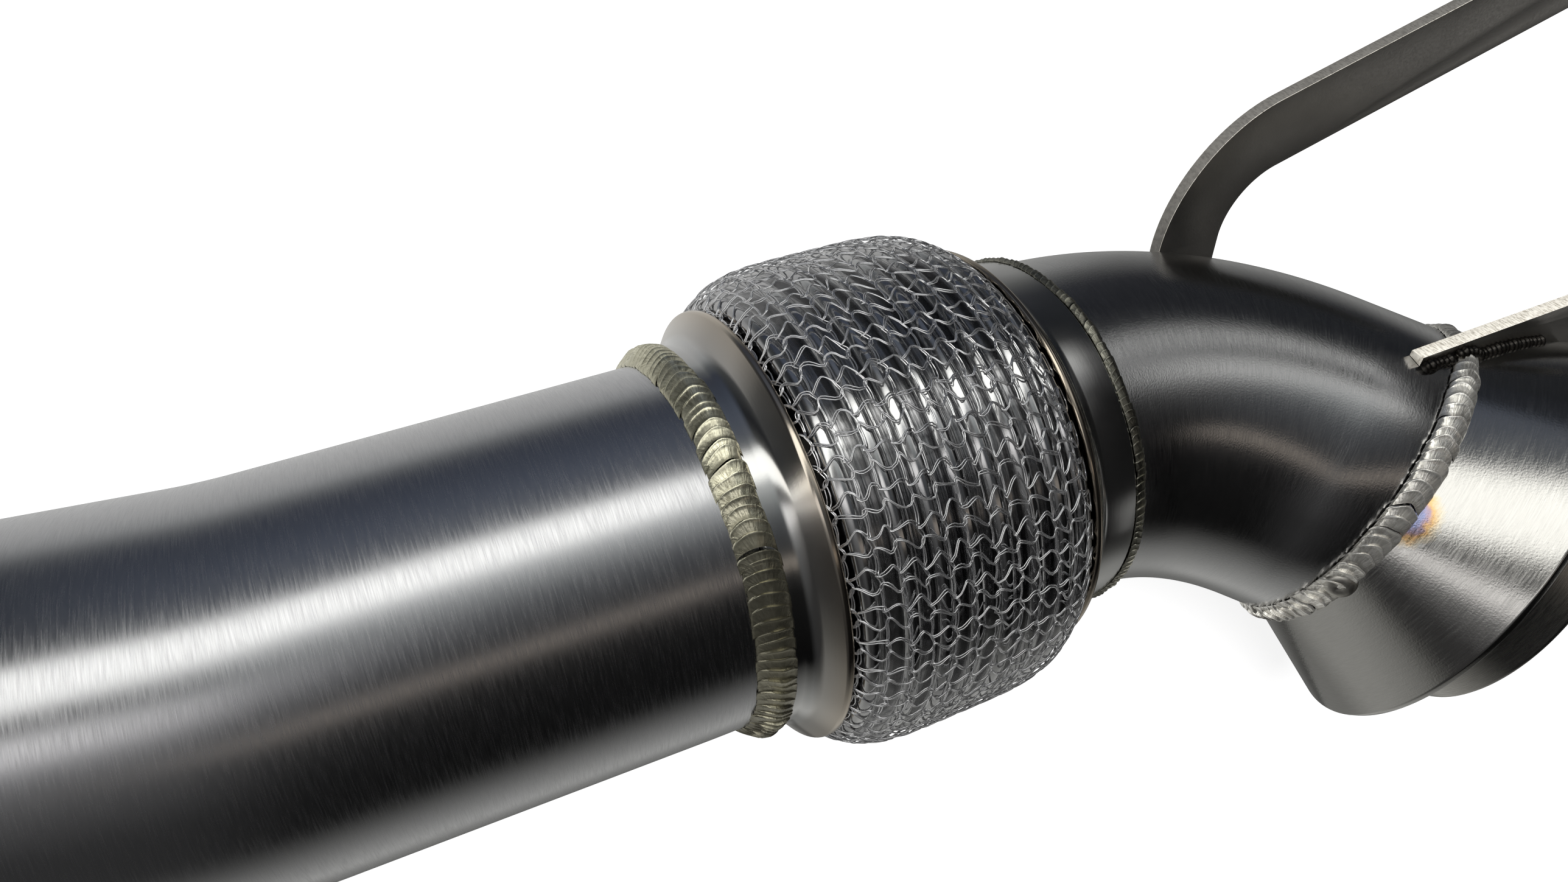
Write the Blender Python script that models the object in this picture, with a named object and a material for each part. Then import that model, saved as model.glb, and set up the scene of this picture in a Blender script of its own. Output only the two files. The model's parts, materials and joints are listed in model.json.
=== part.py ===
"""Turbo downpipe: outlet tube, braided flex coupling, elbow, flared turbo cone and two straps.

The flex lies along X. Its outlet weld is at the design origin, the turbo end is towards +X,
and the elbow turns towards -Y. All lengths below are in millimetres.
"""
import bpy
import bmesh
from math import cos, sin, tan, pi, radians, sqrt
from mathutils import Matrix, Vector
from mathutils.bvhtree import BVHTree

MM = 0.001
GAP = 0.3                     # between pieces that touch

# Tube stock
TUBE_OD = 76.2
TUBE_RADIUS = TUBE_OD / 2
TUBE_WALL = 1.5
TUBE_SEGMENTS = 28
INSERT = 7.0                  # how far each tube end goes into its cap

# Outlet tube, from the weld towards -X
OUTLET_SIDE_ANGLE = 1.8       # degrees that the tube leaves the flex axis towards +Y
OUTLET_DROP_ANGLE = 2.8       # degrees that it drops
OUTLET_KINK = 8.0             # length over which it turns off the flex axis
OUTLET_KINK_STEPS = 2
OUTLET_LEG = 78.0             # straight length to the slight bend
OUTLET_BEND_RADIUS = 142.0
OUTLET_BEND_ANGLE = 6.3
OUTLET_BEND_STEPS = 3
OUTLET_END_LEG = 150.0

# Flex coupling
FLEX_LENGTH = 79.0            # between the outer ends of two equal caps
FLEX_SEGMENTS = 18            # round the bellows and mesh
CAP_SEAT = 1.2                # outlet cap's edge from the weld's middle
CAP_NIPPLE = 6.0              # straight sleeve of a cap
INLET_SLEEVE_EXTRA = 3.6      # the inlet cap's sleeve is longer
OUTLET_CAP_WALL = 2.0
INLET_CAP_WALL = 1.4
CAP_LIP_RADIUS = TUBE_RADIUS + 7.6
CAP_LIP_WALL = 1.05
CAP_LIP_DEPTH = 12.6          # lip's tip from the weld's middle
CAP_FLARE = 4.0               # axial length of the flare
CAP_TIP_LAND = 1.3            # flat inner land at the lip's tip
CAP_EDGE_FILLET = 0.6
CAP_SHOULDER_FILLET = 4.0
CAP_LIP_FILLET = 1.0
CAP_TIP_FILLET = 0.5

MESH_RADIUS = TUBE_RADIUS + 13.3
MESH_WALL = 0.8
MESH_RIDGE = 0.3              # how far a strand's ridge stands over its edges
MESH_ROWS = 7                 # strand crossings along the sleeve
MESH_STRAND = 1.3             # half the width of a strand
MESH_TUCK = 1.4               # how far the sleeve goes under a lip
MESH_BULGE = 5                # power of the barrel curve

BELLOWS_MARGIN = 13.1         # from the flex's ends to the outermost waves
BELLOWS_PITCH = 6.6           # about, so that whole waves fill the length
BELLOWS_ROOT_RADIUS = TUBE_RADIUS + 4.9
BELLOWS_WALL = 0.5
BELLOWS_LAND = 0.8            # half the flat of a crest or a root
BELLOWS_CREST = 1.5           # half the width of a crest at its shoulders
BELLOWS_SHOULDER = 0.6        # how far the shoulders lie under the crest
BELLOWS_CUFF_SETBACK = 1.0    # from the cap's shoulder to the bellows' cuff
BELLOWS_CLEARANCE = 0.6

LINER_WALL = 1.2
LINER_STEP = 0.4
LINER_LAPS = 3
RING_WALL = 0.5
RING_LENGTH = 3.6

# Elbow and turbo end
ELBOW_RADIUS = 84.0
ELBOW_ANGLE = 45.0
ELBOW_STEPS = 6
ELBOW_LEG = 16.3
MITRE_ANGLE = 7.0             # the cone turns this much more than the elbow
MITRE_DROP = 5.0              # and drops by this much

CONE_SMALL_RADIUS = TUBE_RADIUS + 0.4
CONE_RIM_RADIUS = TUBE_RADIUS + 12.5
CONE_SLOPE = 28.8             # degrees from the axis
CONE_THROAT_FILLET = 11.0
CONE_LENGTH = 25.5
CONE_WALL = 2.0
RIM_TURN = 1.6                # depth of the turned-in rim

FLANGE_THICKNESS = 6.0
SPIGOT_RADIUS = TUBE_RADIUS - 1.8
SPIGOT_WALL = 2.5
SPIGOT_END_FILLET = 1.2
FLANGE_THROAT_FILLET = 1.5
SPIGOT_REACH = 42.8           # end of the spigot from the cone weld

# Welds
WELD_GAP_HALF = 0.4           # half the slit between two butted pieces
OUTLET_WELD_WIDTH = 6.9
OUTLET_WELD_RISE = 0.6
OUTLET_WELD_RIPPLES = 28
SEAM_WELD_WIDTH = 3.6
SEAM_WELD_RISE = 0.5
CONE_WELD_WIDTH = 6.2
CONE_WELD_RISE = 1.3
CONE_WELD_RIPPLES = 28
RIPPLE_DEPTH = 0.3
RIPPLE_CURVE = 0.8            # how far a ripple's edges trail its middle, in half ripples
WELD_CLIMB = 1.1              # share of the half width over which a bead climbs a step
WELD_SECTION = (-1.0, -0.55, 0.0, 0.55, 1.0)   # places across a bead, in half widths
FLANGE_WELD_LEG = 2.6
FLANGE_WELD_CROWN = (0.45, 0.8)   # shares of the leg where the bead's face stands proudest
STRAP_WELD_RADIUS = 1.6
STRAP_WELD_PITCH = 2.1
STRAP_WELD_SIDES = 5
STRAP_WELD_DIP = 0.78         # share of the radius between two ripples
STRAP_WELD_END = 0.4          # share of the radius at a bead's ends
STEEPEST_SEAT = 0.35          # least slope, as a cosine, that a bead is set off by

# Straps, cut from flat bar
STRAP_WIDTH = 18.4
STRAP_THICKNESS = 3.0
STRAP_LEAN = 18.0             # degrees that both straps lean back from the vertical
STRAP_HOLE_RADIUS = 4.25
STRAP_HOLE_SEGMENTS = 16
STRAP_NOSE_STEPS = 8
REAR_STRAP_BEND_STEPS = 7
CUTTER_OVERRUN = 3.0
REAR_STRAP_FOOT = (56.2, -18.4, 4.8)      # from the elbow's start, its outer side and its middle
REAR_STRAP_RISE_ANGLE = 94.6
REAR_STRAP_RISE = 14.3
REAR_STRAP_TAIL = 9.0         # how far the foot runs on to be coped to the elbow
REAR_STRAP_BEND_RADIUS = 25.3
REAR_STRAP_END_ANGLE = 15.7
REAR_STRAP_ARM = 146.0
FRONT_STRAP_CORNER = (-3.5, 6.2, 2.1)     # from the cone weld's middle and the tube's top
FRONT_STRAP_LENGTH = 106.0
REAR_WELD_REACH = (-8.0, 8.0)     # span of a bead along its strap, from the strap's origin
FRONT_WELD_REACH = (2.0, 44.0)

TUBE_BORE = TUBE_RADIUS - TUBE_WALL
CAP_BORE = TUBE_RADIUS + GAP
FLEX_MIDDLE = FLEX_LENGTH / 2
SEAM_SLEEVE_END = FLEX_LENGTH - CAP_SEAT + INLET_SLEEVE_EXTRA
ELBOW_START = SEAM_SLEEVE_END + CAP_SEAT + WELD_GAP_HALF


def material(name, color, roughness, metallic=1.0):
    """A Principled material with plain values."""
    mat = bpy.data.materials.new(name)
    mat.use_nodes = True
    shader = mat.node_tree.nodes["Principled BSDF"]
    shader.inputs["Base Color"].default_value = (*color, 1.0)
    shader.inputs["Roughness"].default_value = roughness
    shader.inputs["Metallic"].default_value = metallic
    mat.diffuse_color = (*color, 1.0)
    return mat


def add_object(name, bm, mat, parent):
    """Turns a bmesh in millimetres into a named object in metres."""
    bmesh.ops.scale(bm, vec=(MM, MM, MM), verts=bm.verts)
    bmesh.ops.recalc_face_normals(bm, faces=bm.faces)
    mesh = bpy.data.meshes.new(name)
    bm.to_mesh(mesh)
    bm.free()
    mesh.shade_smooth()
    mesh.set_sharp_from_angle(angle=radians(35))
    obj = bpy.data.objects.new(name, mesh)
    bpy.context.scene.collection.objects.link(obj)
    obj.parent = parent
    if mat:
        mesh.materials.append(mat)
    return obj


def frame_along(point, direction, side=Vector((0, 0, 1))):
    """A matrix at a point with its Z along direction and its X near side."""
    z = Vector(direction).normalized()
    x = (side - z * side.dot(z)).normalized()
    y = z.cross(x)
    rot = Matrix((x, y, z)).transposed().to_4x4()
    return Matrix.Translation(point) @ rot


def ring(bm, frame, radius, segments):
    """A ring of points round a frame's Z axis."""
    steps = [2 * pi * k / segments for k in range(segments)]
    return [bm.verts.new(frame @ Vector((radius * cos(a), radius * sin(a), 0))) for a in steps]


def bridge(bm, rings, closed):
    """Skins neighbouring rings of equal count with quads."""
    pairs = list(zip(rings, rings[1:]))
    if closed:
        pairs.append((rings[-1], rings[0]))
    for low, high in pairs:
        count = len(low)
        for k in range(count):
            nxt = (k + 1) % count
            bm.faces.new((low[k], low[nxt], high[nxt], high[k]))


def turned(name, profile, frame, segments, mat, parent):
    """Revolves a closed profile of (along, radius) points round a frame's Z axis."""
    bm = bmesh.new()
    rings = [ring(bm, frame @ Matrix.Translation((0, 0, x)), r, segments) for x, r in profile]
    bridge(bm, rings, closed=True)
    return add_object(name, bm, mat, parent)


def swept_tube(name, frames, outer, inner, mat, parent):
    """A tube through a list of frames, with flat ends."""
    bm = bmesh.new()
    out = [ring(bm, f, outer, TUBE_SEGMENTS) for f in frames]
    back = [ring(bm, f, inner, TUBE_SEGMENTS) for f in reversed(frames)]
    bridge(bm, out + back, closed=True)
    return add_object(name, bm, mat, parent)


def swept_rod(name, frames, radii, segments, mat, parent):
    """A solid rod through frames, with a radius at each and capped ends."""
    bm = bmesh.new()
    rings = [ring(bm, f, r, segments) for f, r in zip(frames, radii)]
    bridge(bm, rings, closed=False)
    bm.faces.new(rings[0])
    bm.faces.new(rings[-1])
    return add_object(name, bm, mat, parent)


def fillet(before, corner, after, radius, steps):
    """The points of a fillet at a corner between two neighbouring points."""
    here = Vector(corner)
    back = (Vector(before) - here).normalized()
    ahead = (Vector(after) - here).normalized()
    half = back.angle(ahead) / 2
    centre = here + (back + ahead).normalized() * radius / sin(half)
    start = here + back * radius / tan(half) - centre
    end = here + ahead * radius / tan(half) - centre
    spread = [centre + start.lerp(end, k / steps).normalized() * radius for k in range(steps + 1)]
    return [(p.x, p.y) for p in spread]


def rounded(corners):
    """Fillets a closed outline of (x, y, radius, steps) corners, steps 0 for a sharp one."""
    points = []
    count = len(corners)
    for k, (x, y, radius, steps) in enumerate(corners):
        if steps == 0:
            points.append((x, y))
        else:
            points += fillet(corners[k - 1][:2], (x, y), corners[(k + 1) % count][:2], radius, steps)
    return points


def radius_at(line, x):
    """The radius of a line of (along, radius) points at a place along it."""
    for (x0, r0), (x1, r1) in zip(line, line[1:]):
        if x <= x1:
            return r0 + (r1 - r0) * (x - x0) / (x1 - x0)
    return line[-1][1]


class Route:
    """A centre line that is laid down step by step, as a bender would."""

    def __init__(self, point, direction, side):
        self.point = Vector(point)
        self.direction = Vector(direction).normalized()
        self.side = Vector(side)
        self.frames = [self.frame()]

    def frame(self):
        return frame_along(self.point, self.direction, self.side)

    def straight(self, length):
        self.point = self.point + self.direction * length
        self.frames.append(self.frame())

    def bend(self, radius, angle, towards, steps):
        """Turns by an angle in degrees towards a direction."""
        across = Vector(towards)
        across = (across - self.direction * across.dot(self.direction)).normalized()
        axis = self.direction.cross(across)
        turn = Matrix.Rotation(radians(angle) / steps, 3, axis)
        for _ in range(steps):
            across = axis.cross(self.direction)
            centre = self.point + across * radius
            self.point = centre + turn @ (self.point - centre)
            self.direction = turn @ self.direction
            self.side = turn @ self.side
            self.frames.append(self.frame())


def mirror_along(profile, middle):
    """The same profile turned end for end about a middle."""
    return [(2 * middle - x, r) for x, r in reversed(profile)]


def outlet_direction():
    """The way the outlet tube leaves the flex."""
    side, drop = radians(OUTLET_SIDE_ANGLE), radians(OUTLET_DROP_ANGLE)
    return Vector((-cos(side) * cos(drop), sin(side) * cos(drop), -sin(drop)))


def outlet_frames():
    away = outlet_direction()
    line = Route((INSERT + CAP_SEAT, 0, 0), (-1, 0, 0), (0, 0, 1))
    line.straight(INSERT + CAP_SEAT + OUTLET_WELD_WIDTH / 2)
    turn = Vector((-1, 0, 0)).angle(away)
    line.bend(OUTLET_KINK / turn, turn * 180 / pi, away, OUTLET_KINK_STEPS)
    line.straight(OUTLET_LEG - OUTLET_KINK - OUTLET_WELD_WIDTH / 2)
    line.bend(OUTLET_BEND_RADIUS, OUTLET_BEND_ANGLE, (0, 1, 0), OUTLET_BEND_STEPS)
    line.straight(OUTLET_END_LEG)
    return line.frames


def elbow_route():
    line = Route((ELBOW_START - INSERT, 0, 0), (1, 0, 0), (0, 0, 1))
    line.straight(INSERT)
    line.bend(ELBOW_RADIUS, ELBOW_ANGLE, (0, -1, 0), ELBOW_STEPS)
    return line


def cone_frame():
    """The frame at the cone weld, with Z along the cone."""
    line = elbow_route()
    line.straight(ELBOW_LEG)
    turn = radians(ELBOW_ANGLE + MITRE_ANGLE)
    drop = radians(MITRE_DROP)
    along = Vector((cos(turn) * cos(drop), -sin(turn) * cos(drop), -sin(drop)))
    return frame_along(line.point, along)


def elbow_frames():
    """The elbow's frames, the last one cut square to the cone."""
    frames = elbow_route().frames
    joint = cone_frame()
    return frames + [joint @ Matrix.Translation((0, 0, -WELD_GAP_HALF))]


def cap_profile(wall, sleeve):
    """Outline of an end cap whose sleeve starts at CAP_SEAT less the extra length."""
    start = CAP_SEAT - (sleeve - CAP_NIPPLE)
    shoulder = CAP_SEAT + CAP_NIPPLE
    outer = CAP_BORE + wall
    lip_in = CAP_LIP_RADIUS - CAP_LIP_WALL
    return rounded([
        (start, CAP_BORE, 0, 0),
        (start, outer, CAP_EDGE_FILLET, 1),
        (shoulder, outer, CAP_SHOULDER_FILLET, 2),
        (shoulder + CAP_FLARE, CAP_LIP_RADIUS, CAP_LIP_FILLET, 1),
        (CAP_LIP_DEPTH, CAP_LIP_RADIUS, CAP_TIP_FILLET, 1),
        (CAP_LIP_DEPTH, lip_in, 0, 0),
        (CAP_LIP_DEPTH - CAP_TIP_LAND, lip_in - CAP_TIP_LAND / 2, 0, 0),
        (shoulder + 2 * GAP, CAP_BORE, 0, 0),
    ])


def mesh_rows():
    """Places and radii of the sleeve's rows of crossings, closer together near the lips."""
    start = CAP_LIP_DEPTH + 2 * GAP
    length = 2 * (FLEX_MIDDLE - start)
    end_radius = CAP_LIP_RADIUS - CAP_LIP_WALL + GAP
    rows = []
    for j in range(MESH_ROWS + 1):
        t = (j / MESH_ROWS + (1 - cos(pi * j / MESH_ROWS)) / 2) / 2
        bulge = 1 - abs(2 * t - 1) ** MESH_BULGE
        rows.append((start + t * length, end_radius + (MESH_RADIUS - end_radius) * bulge))
    return rows


def sink(vert, depth):
    """Moves a point straight towards the flex axis."""
    radial = Vector((0, vert.co.y, vert.co.z)).normalized()
    vert.co -= radial * depth


def knitted_sleeve(mat, parent):
    """The wire sleeve: strands that cross in diamonds, with a plain hem under each lip."""
    bm = bmesh.new()
    rows = mesh_rows()
    tucked = rows[0][1] - MESH_TUCK
    hem_low = rows[0][0] - MESH_TUCK
    hem_high = 2 * FLEX_MIDDLE - hem_low
    half = pi / FLEX_SEGMENTS

    def row_ring(x, radius, shift):
        angles = [2 * half * k + shift for k in range(FLEX_SEGMENTS)]
        return [bm.verts.new((x, radius * sin(a), radius * cos(a))) for a in angles]

    grid = [row_ring(x, r, half * (j % 2)) for j, (x, r) in enumerate(rows)]
    count = FLEX_SEGMENTS
    diamonds = []

    def tip(row, k):
        """Where a neighbouring row has its crossing between this row's k and k + 1."""
        return (k + 1) % count if row % 2 else k

    for j in range(1, MESH_ROWS):
        for k in range(count):
            left, right = grid[j][k], grid[j][(k + 1) % count]
            below, above = grid[j - 1][tip(j, k)], grid[j + 1][tip(j, k)]
            diamonds.append(bm.faces.new((left, below, right, above)))
    for edge_row, next_row, hem_x in ((0, 1, hem_low), (MESH_ROWS, MESH_ROWS - 1, hem_high)):
        hem = row_ring(hem_x, tucked, half * (edge_row % 2))
        edge = grid[edge_row]
        for k in range(count):
            right = (k + 1) % count
            bm.faces.new((edge[k], edge[right], grid[next_row][tip(edge_row, k)]))
            bm.faces.new((hem[k], hem[right], edge[right], edge[k]))
    bmesh.ops.recalc_face_normals(bm, faces=bm.faces)
    bmesh.ops.inset_individual(bm, faces=diamonds, thickness=MESH_STRAND, use_even_offset=True)
    for vert in {v for f in diamonds for v in f.verts}:
        sink(vert, MESH_RIDGE)
    bmesh.ops.delete(bm, geom=diamonds, context="FACES")
    skin = bmesh.ops.extrude_face_region(bm, geom=bm.faces[:])
    for vert in [g for g in skin["geom"] if isinstance(g, bmesh.types.BMVert)]:
        sink(vert, MESH_WALL)
    return add_object("flex_mesh", bm, mat, parent)


def sleeve_inside(x):
    """The radius that the bellows can fill at a place along the flex."""
    return radius_at(mesh_rows(), x) - MESH_WALL - MESH_RIDGE - GAP - BELLOWS_CLEARANCE


def bellows_profile():
    """Outer and inner line of the bellows, cuff to cuff."""
    span = FLEX_LENGTH - 2 * BELLOWS_MARGIN
    waves = round(span / BELLOWS_PITCH)
    pitch = span / waves
    low = CAP_BORE + RING_WALL + GAP
    cuff_start = CAP_SEAT + CAP_NIPPLE + 3 * GAP + BELLOWS_WALL + BELLOWS_CUFF_SETBACK
    cuff_end = BELLOWS_MARGIN + BELLOWS_LAND
    outer = [(cuff_start, low + BELLOWS_WALL), (cuff_end, low + BELLOWS_WALL)]
    inner = [(cuff_start, low), (cuff_end + BELLOWS_WALL, low)]
    shoulders = ((-BELLOWS_CREST, BELLOWS_SHOULDER), (-BELLOWS_LAND, 0),
                 (BELLOWS_LAND, 0), (BELLOWS_CREST, BELLOWS_SHOULDER))
    hollow = BELLOWS_CREST - BELLOWS_WALL
    under = BELLOWS_WALL + BELLOWS_SHOULDER / 2
    wide = BELLOWS_LAND + BELLOWS_WALL
    for wave in range(waves):
        root = BELLOWS_MARGIN + pitch * wave
        crest = root + pitch / 2
        if wave:
            outer += [(root + out, BELLOWS_ROOT_RADIUS) for out in (-BELLOWS_LAND, BELLOWS_LAND)]
            inner += [(root + out, BELLOWS_ROOT_RADIUS - BELLOWS_WALL) for out in (-wide, wide)]
        outer += [(crest + out, sleeve_inside(crest + out) - drop) for out, drop in shoulders]
        inner += [(crest + out, sleeve_inside(crest + out) - under) for out in (-hollow, hollow)]
    far_end = 2 * FLEX_MIDDLE - cuff_end
    far_start = 2 * FLEX_MIDDLE - cuff_start
    outer += [(far_end, low + BELLOWS_WALL), (far_start, low + BELLOWS_WALL)]
    inner += [(far_end - BELLOWS_WALL, low), (far_start, low)]
    return outer + inner[::-1]


def liner_profile():
    """Strip-wound liner: the bore steps in and out at each lap."""
    start = CAP_SEAT + INSERT + GAP
    end = ELBOW_START - INSERT - GAP
    outer = CAP_BORE - GAP
    lap = (end - start) / LINER_LAPS
    points = [(end, outer), (start, outer)]
    for k in range(LINER_LAPS):
        x = start + k * lap
        for place, depth in ((0, 1), (0.5, 1), (0.5, 0), (1, 0)):
            points.append((x + place * lap, outer - LINER_WALL + LINER_STEP * (1 - depth)))
    return points


def cone_slope():
    return tan(radians(CONE_SLOPE))


def cone_throat():
    """Where the cone's slope would meet its neck."""
    return CONE_LENGTH - (CONE_RIM_RADIUS - CONE_SMALL_RADIUS) / cone_slope()


def cone_mouth():
    """The cone's inner radius at its rim."""
    return CONE_RIM_RADIUS - CONE_WALL / cos(radians(CONE_SLOPE))


def cone_outer_line():
    """The cone's outside from its neck to its rim."""
    neck = (WELD_GAP_HALF, CONE_SMALL_RADIUS)
    corner = (cone_throat(), CONE_SMALL_RADIUS)
    rim = (CONE_LENGTH, CONE_RIM_RADIUS)
    return [neck] + fillet(neck, corner, rim, CONE_THROAT_FILLET, 3) + [rim]


def cone_profile():
    """The cone's outline, with its rim turned in round the ring's face."""
    face = CONE_LENGTH + RIM_TURN
    bore = CONE_SMALL_RADIUS - CONE_WALL
    rim = (CONE_LENGTH, CONE_RIM_RADIUS)
    mouth = (CONE_LENGTH, cone_mouth())
    lip = (face, cone_mouth())
    corner = (cone_throat() + CONE_WALL * tan(radians(CONE_SLOPE / 2)), bore)
    neck = (WELD_GAP_HALF, bore)
    turned_in = fillet(rim, (face, CONE_RIM_RADIUS - RIM_TURN / 2), lip, RIM_TURN / 3, 1)
    inside = fillet(mouth, corner, neck, CONE_THROAT_FILLET + CONE_WALL, 2)
    return cone_outer_line() + turned_in + [lip, mouth] + inside + [neck]


def flange_profile():
    """Turned ring that fills the cone's mouth, with its spigot."""
    face = CONE_LENGTH + RIM_TURN
    back = face - FLANGE_THICKNESS
    mouth = cone_mouth() - GAP
    seat = mouth - cone_slope() * (CONE_LENGTH - back) - GAP
    bore = SPIGOT_RADIUS - SPIGOT_WALL
    return rounded([
        (back, bore, FLANGE_THROAT_FILLET, 2),
        (back, seat, 0, 0),
        (CONE_LENGTH, mouth, 0, 0),
        (face, mouth, 0, 0),
        (face, SPIGOT_RADIUS, 0, 0),
        (SPIGOT_REACH, SPIGOT_RADIUS, SPIGOT_END_FILLET, 1),
        (SPIGOT_REACH, bore, 0, 0),
    ])


def flange_weld_profile():
    """Fillet bead in the corner behind the ring."""
    back = CONE_LENGTH + RIM_TURN - FLANGE_THICKNESS - GAP
    corner = cone_mouth() - cone_slope() * (CONE_LENGTH - back) - 2 * GAP
    leg = FLANGE_WELD_LEG
    out, down = FLANGE_WELD_CROWN
    return [
        (back, corner),
        (back, corner - leg),
        (back - leg * out, corner - leg * down),
        (back - leg, corner - leg * cone_slope() - GAP),
    ]


def weld_ring(name, frame, low_way, seats, step, size, ripples, mat, parent):
    """A bead round a joint. Its ripples are crescents that overlap like a fallen row of coins.

    low_way is the direction of the pipe on its low side, seats are the radii on its two sides,
    and step is where a thicker piece's edge stands, or None.
    """
    bm = bmesh.new()
    width, rise = size
    stations = ripples * 2 if ripples else TUBE_SEGMENTS
    low, high = seats
    section = []
    for place in WELD_SECTION:
        seat = low + (high - low) * min(1.0, (place + 1) / WELD_CLIMB)
        trail = RIPPLE_CURVE if ripples and place else 0
        section.append((place, seat + GAP, sqrt(1 - place * place), trail))
    if step is not None:
        edge = 2 * (step - GAP) / width
        section += [(edge, high + GAP, 0, trail), (edge, low + GAP, 0, trail)]
    rows = [[] for _ in section]
    high_way = frame.to_3x3().col[2]
    for station in range(stations):
        dip = RIPPLE_DEPTH * (station % 2) if ripples else 0
        for row, (place, foot, dome, trail) in zip(rows, section):
            angle = 2 * pi * (station - trail) / stations
            radius = foot + (rise - dip) * dome
            around = frame @ Vector((radius * cos(angle), radius * sin(angle), 0))
            way = high_way if place > 0 else low_way
            row.append(bm.verts.new(around + way * place * width / 2))
    bridge(bm, rows, closed=True)
    return add_object(name, bm, mat, parent)


def plate(name, outline, origin, right, up, mat, parent):
    """A plate of strap thickness cut to an outline in the plane of two directions."""
    bm = bmesh.new()
    base = [bm.verts.new(origin + right * x + up * y) for x, y in outline]
    face = bm.faces.new(base)
    out = bmesh.ops.extrude_face_region(bm, geom=[face])
    moved = [g for g in out["geom"] if isinstance(g, bmesh.types.BMVert)]
    bmesh.ops.translate(bm, vec=up.cross(right) * STRAP_THICKNESS, verts=moved)
    return add_object(name, bm, mat, parent)


def cutter(obj):
    """Marks an object as a tool that only cuts."""
    obj.hide_render = True
    obj.display_type = "WIRE"
    return obj


def cut(target, tool):
    boolean = target.modifiers.new(tool.name, "BOOLEAN")
    boolean.operation = "DIFFERENCE"
    boolean.solver = "EXACT"
    boolean.object = tool


def strap_axes():
    lean = radians(STRAP_LEAN)
    return Vector((1, 0, 0)), Vector((0, sin(lean), cos(lean)))


def arc(centre, radius, start, end, steps):
    """Points of an arc, angles in radians."""
    spread = [start + (end - start) * k / steps for k in range(steps + 1)]
    return [(centre[0] + radius * cos(a), centre[1] + radius * sin(a)) for a in spread]


def rear_strap_outline():
    """Foot, edgewise bend and arm with a round end, about the foot's middle."""
    half = STRAP_WIDTH / 2
    start = radians(REAR_STRAP_RISE_ANGLE)
    end = radians(REAR_STRAP_END_ANGLE)
    top = Vector((cos(start), sin(start))) * REAR_STRAP_RISE
    pivot = top + Vector((sin(start), -cos(start))) * REAR_STRAP_BEND_RADIUS
    along = Vector((cos(end), sin(end)))
    bend_end = pivot + Vector((-sin(end), cos(end))) * REAR_STRAP_BEND_RADIUS
    tip = bend_end + along * REAR_STRAP_ARM
    outer = arc(pivot, REAR_STRAP_BEND_RADIUS + half, start + pi / 2, end + pi / 2,
                REAR_STRAP_BEND_STEPS)
    nose = arc(tip, half, end + pi / 2, end - pi / 2, STRAP_NOSE_STEPS)
    inner = arc(pivot, REAR_STRAP_BEND_RADIUS - half, end + pi / 2, start + pi / 2,
                REAR_STRAP_BEND_STEPS)
    foot = Vector((cos(start), sin(start))) * -REAR_STRAP_TAIL
    across = Vector((-sin(start), cos(start))) * half
    return [tuple(foot + across)] + outer + nose[1:] + inner[1:] + [tuple(foot - across)], tip


def front_strap_outline():
    """A straight bar with a round end, from its upper corner."""
    half = STRAP_WIDTH / 2
    tip = Vector((FRONT_STRAP_LENGTH - half, -half))
    nose = arc(tip, half, pi / 2, -pi / 2, STRAP_NOSE_STEPS)
    return [(0, 0)] + nose + [(0, -STRAP_WIDTH)], tip


def bolt_hole(name, origin, right, up, tip, parent):
    """The cutter of a strap's bolt hole."""
    middle = origin + right * tip[0] + up * tip[1]
    through = up.cross(right)
    ends = (-CUTTER_OVERRUN, STRAP_THICKNESS + CUTTER_OVERRUN)
    frames = [frame_along(middle + through * d, through, up) for d in ends]
    radii = [STRAP_HOLE_RADIUS] * 2
    return cutter(swept_rod(name, frames, radii, STRAP_HOLE_SEGMENTS, None, parent))


def strap_weld(name, pipe, origin, right, up, outward, reach, mat, parent):
    """A rippled fillet bead along the line where a strap's face meets the pipe."""
    low, high = reach
    count = int((high - low) / STRAP_WELD_PITCH)
    lift = STRAP_WELD_RADIUS + GAP
    feet = []
    heights = []
    for k in range(count + 1):
        foot = origin + right * (low + (high - low) * k / count) + outward * lift
        hit, normal, _, _ = pipe.ray_cast((foot + up * TUBE_OD) * MM, -up)
        if hit is None:
            continue
        feet.append(foot)
        heights.append((hit / MM - foot).dot(up) + lift / max(STEEPEST_SEAT, normal.dot(up)))
    points = []
    for k, foot in enumerate(feet):
        points.append(foot + up * max(heights[max(k - 1, 0):k + 2]))
    radii = [STRAP_WELD_RADIUS * (1.0 if k % 2 else STRAP_WELD_DIP) for k in range(len(points))]
    radii[0] = radii[-1] = STRAP_WELD_RADIUS * STRAP_WELD_END
    frames = []
    for k, point in enumerate(points):
        ahead = points[min(k + 1, len(points) - 1)] - points[max(k - 1, 0)]
        frames.append(frame_along(point, ahead, up))
    return swept_rod(name, frames, radii, STRAP_WELD_SIDES, mat, parent)


def pipe_surface(objects):
    """A search tree of finished pieces, in design space."""
    verts = []
    faces = []
    for obj in objects:
        base = len(verts)
        verts += [v.co.copy() for v in obj.data.vertices]
        faces += [[base + i for i in p.vertices] for p in obj.data.polygons]
    return BVHTree.FromPolygons(verts, faces)


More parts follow.
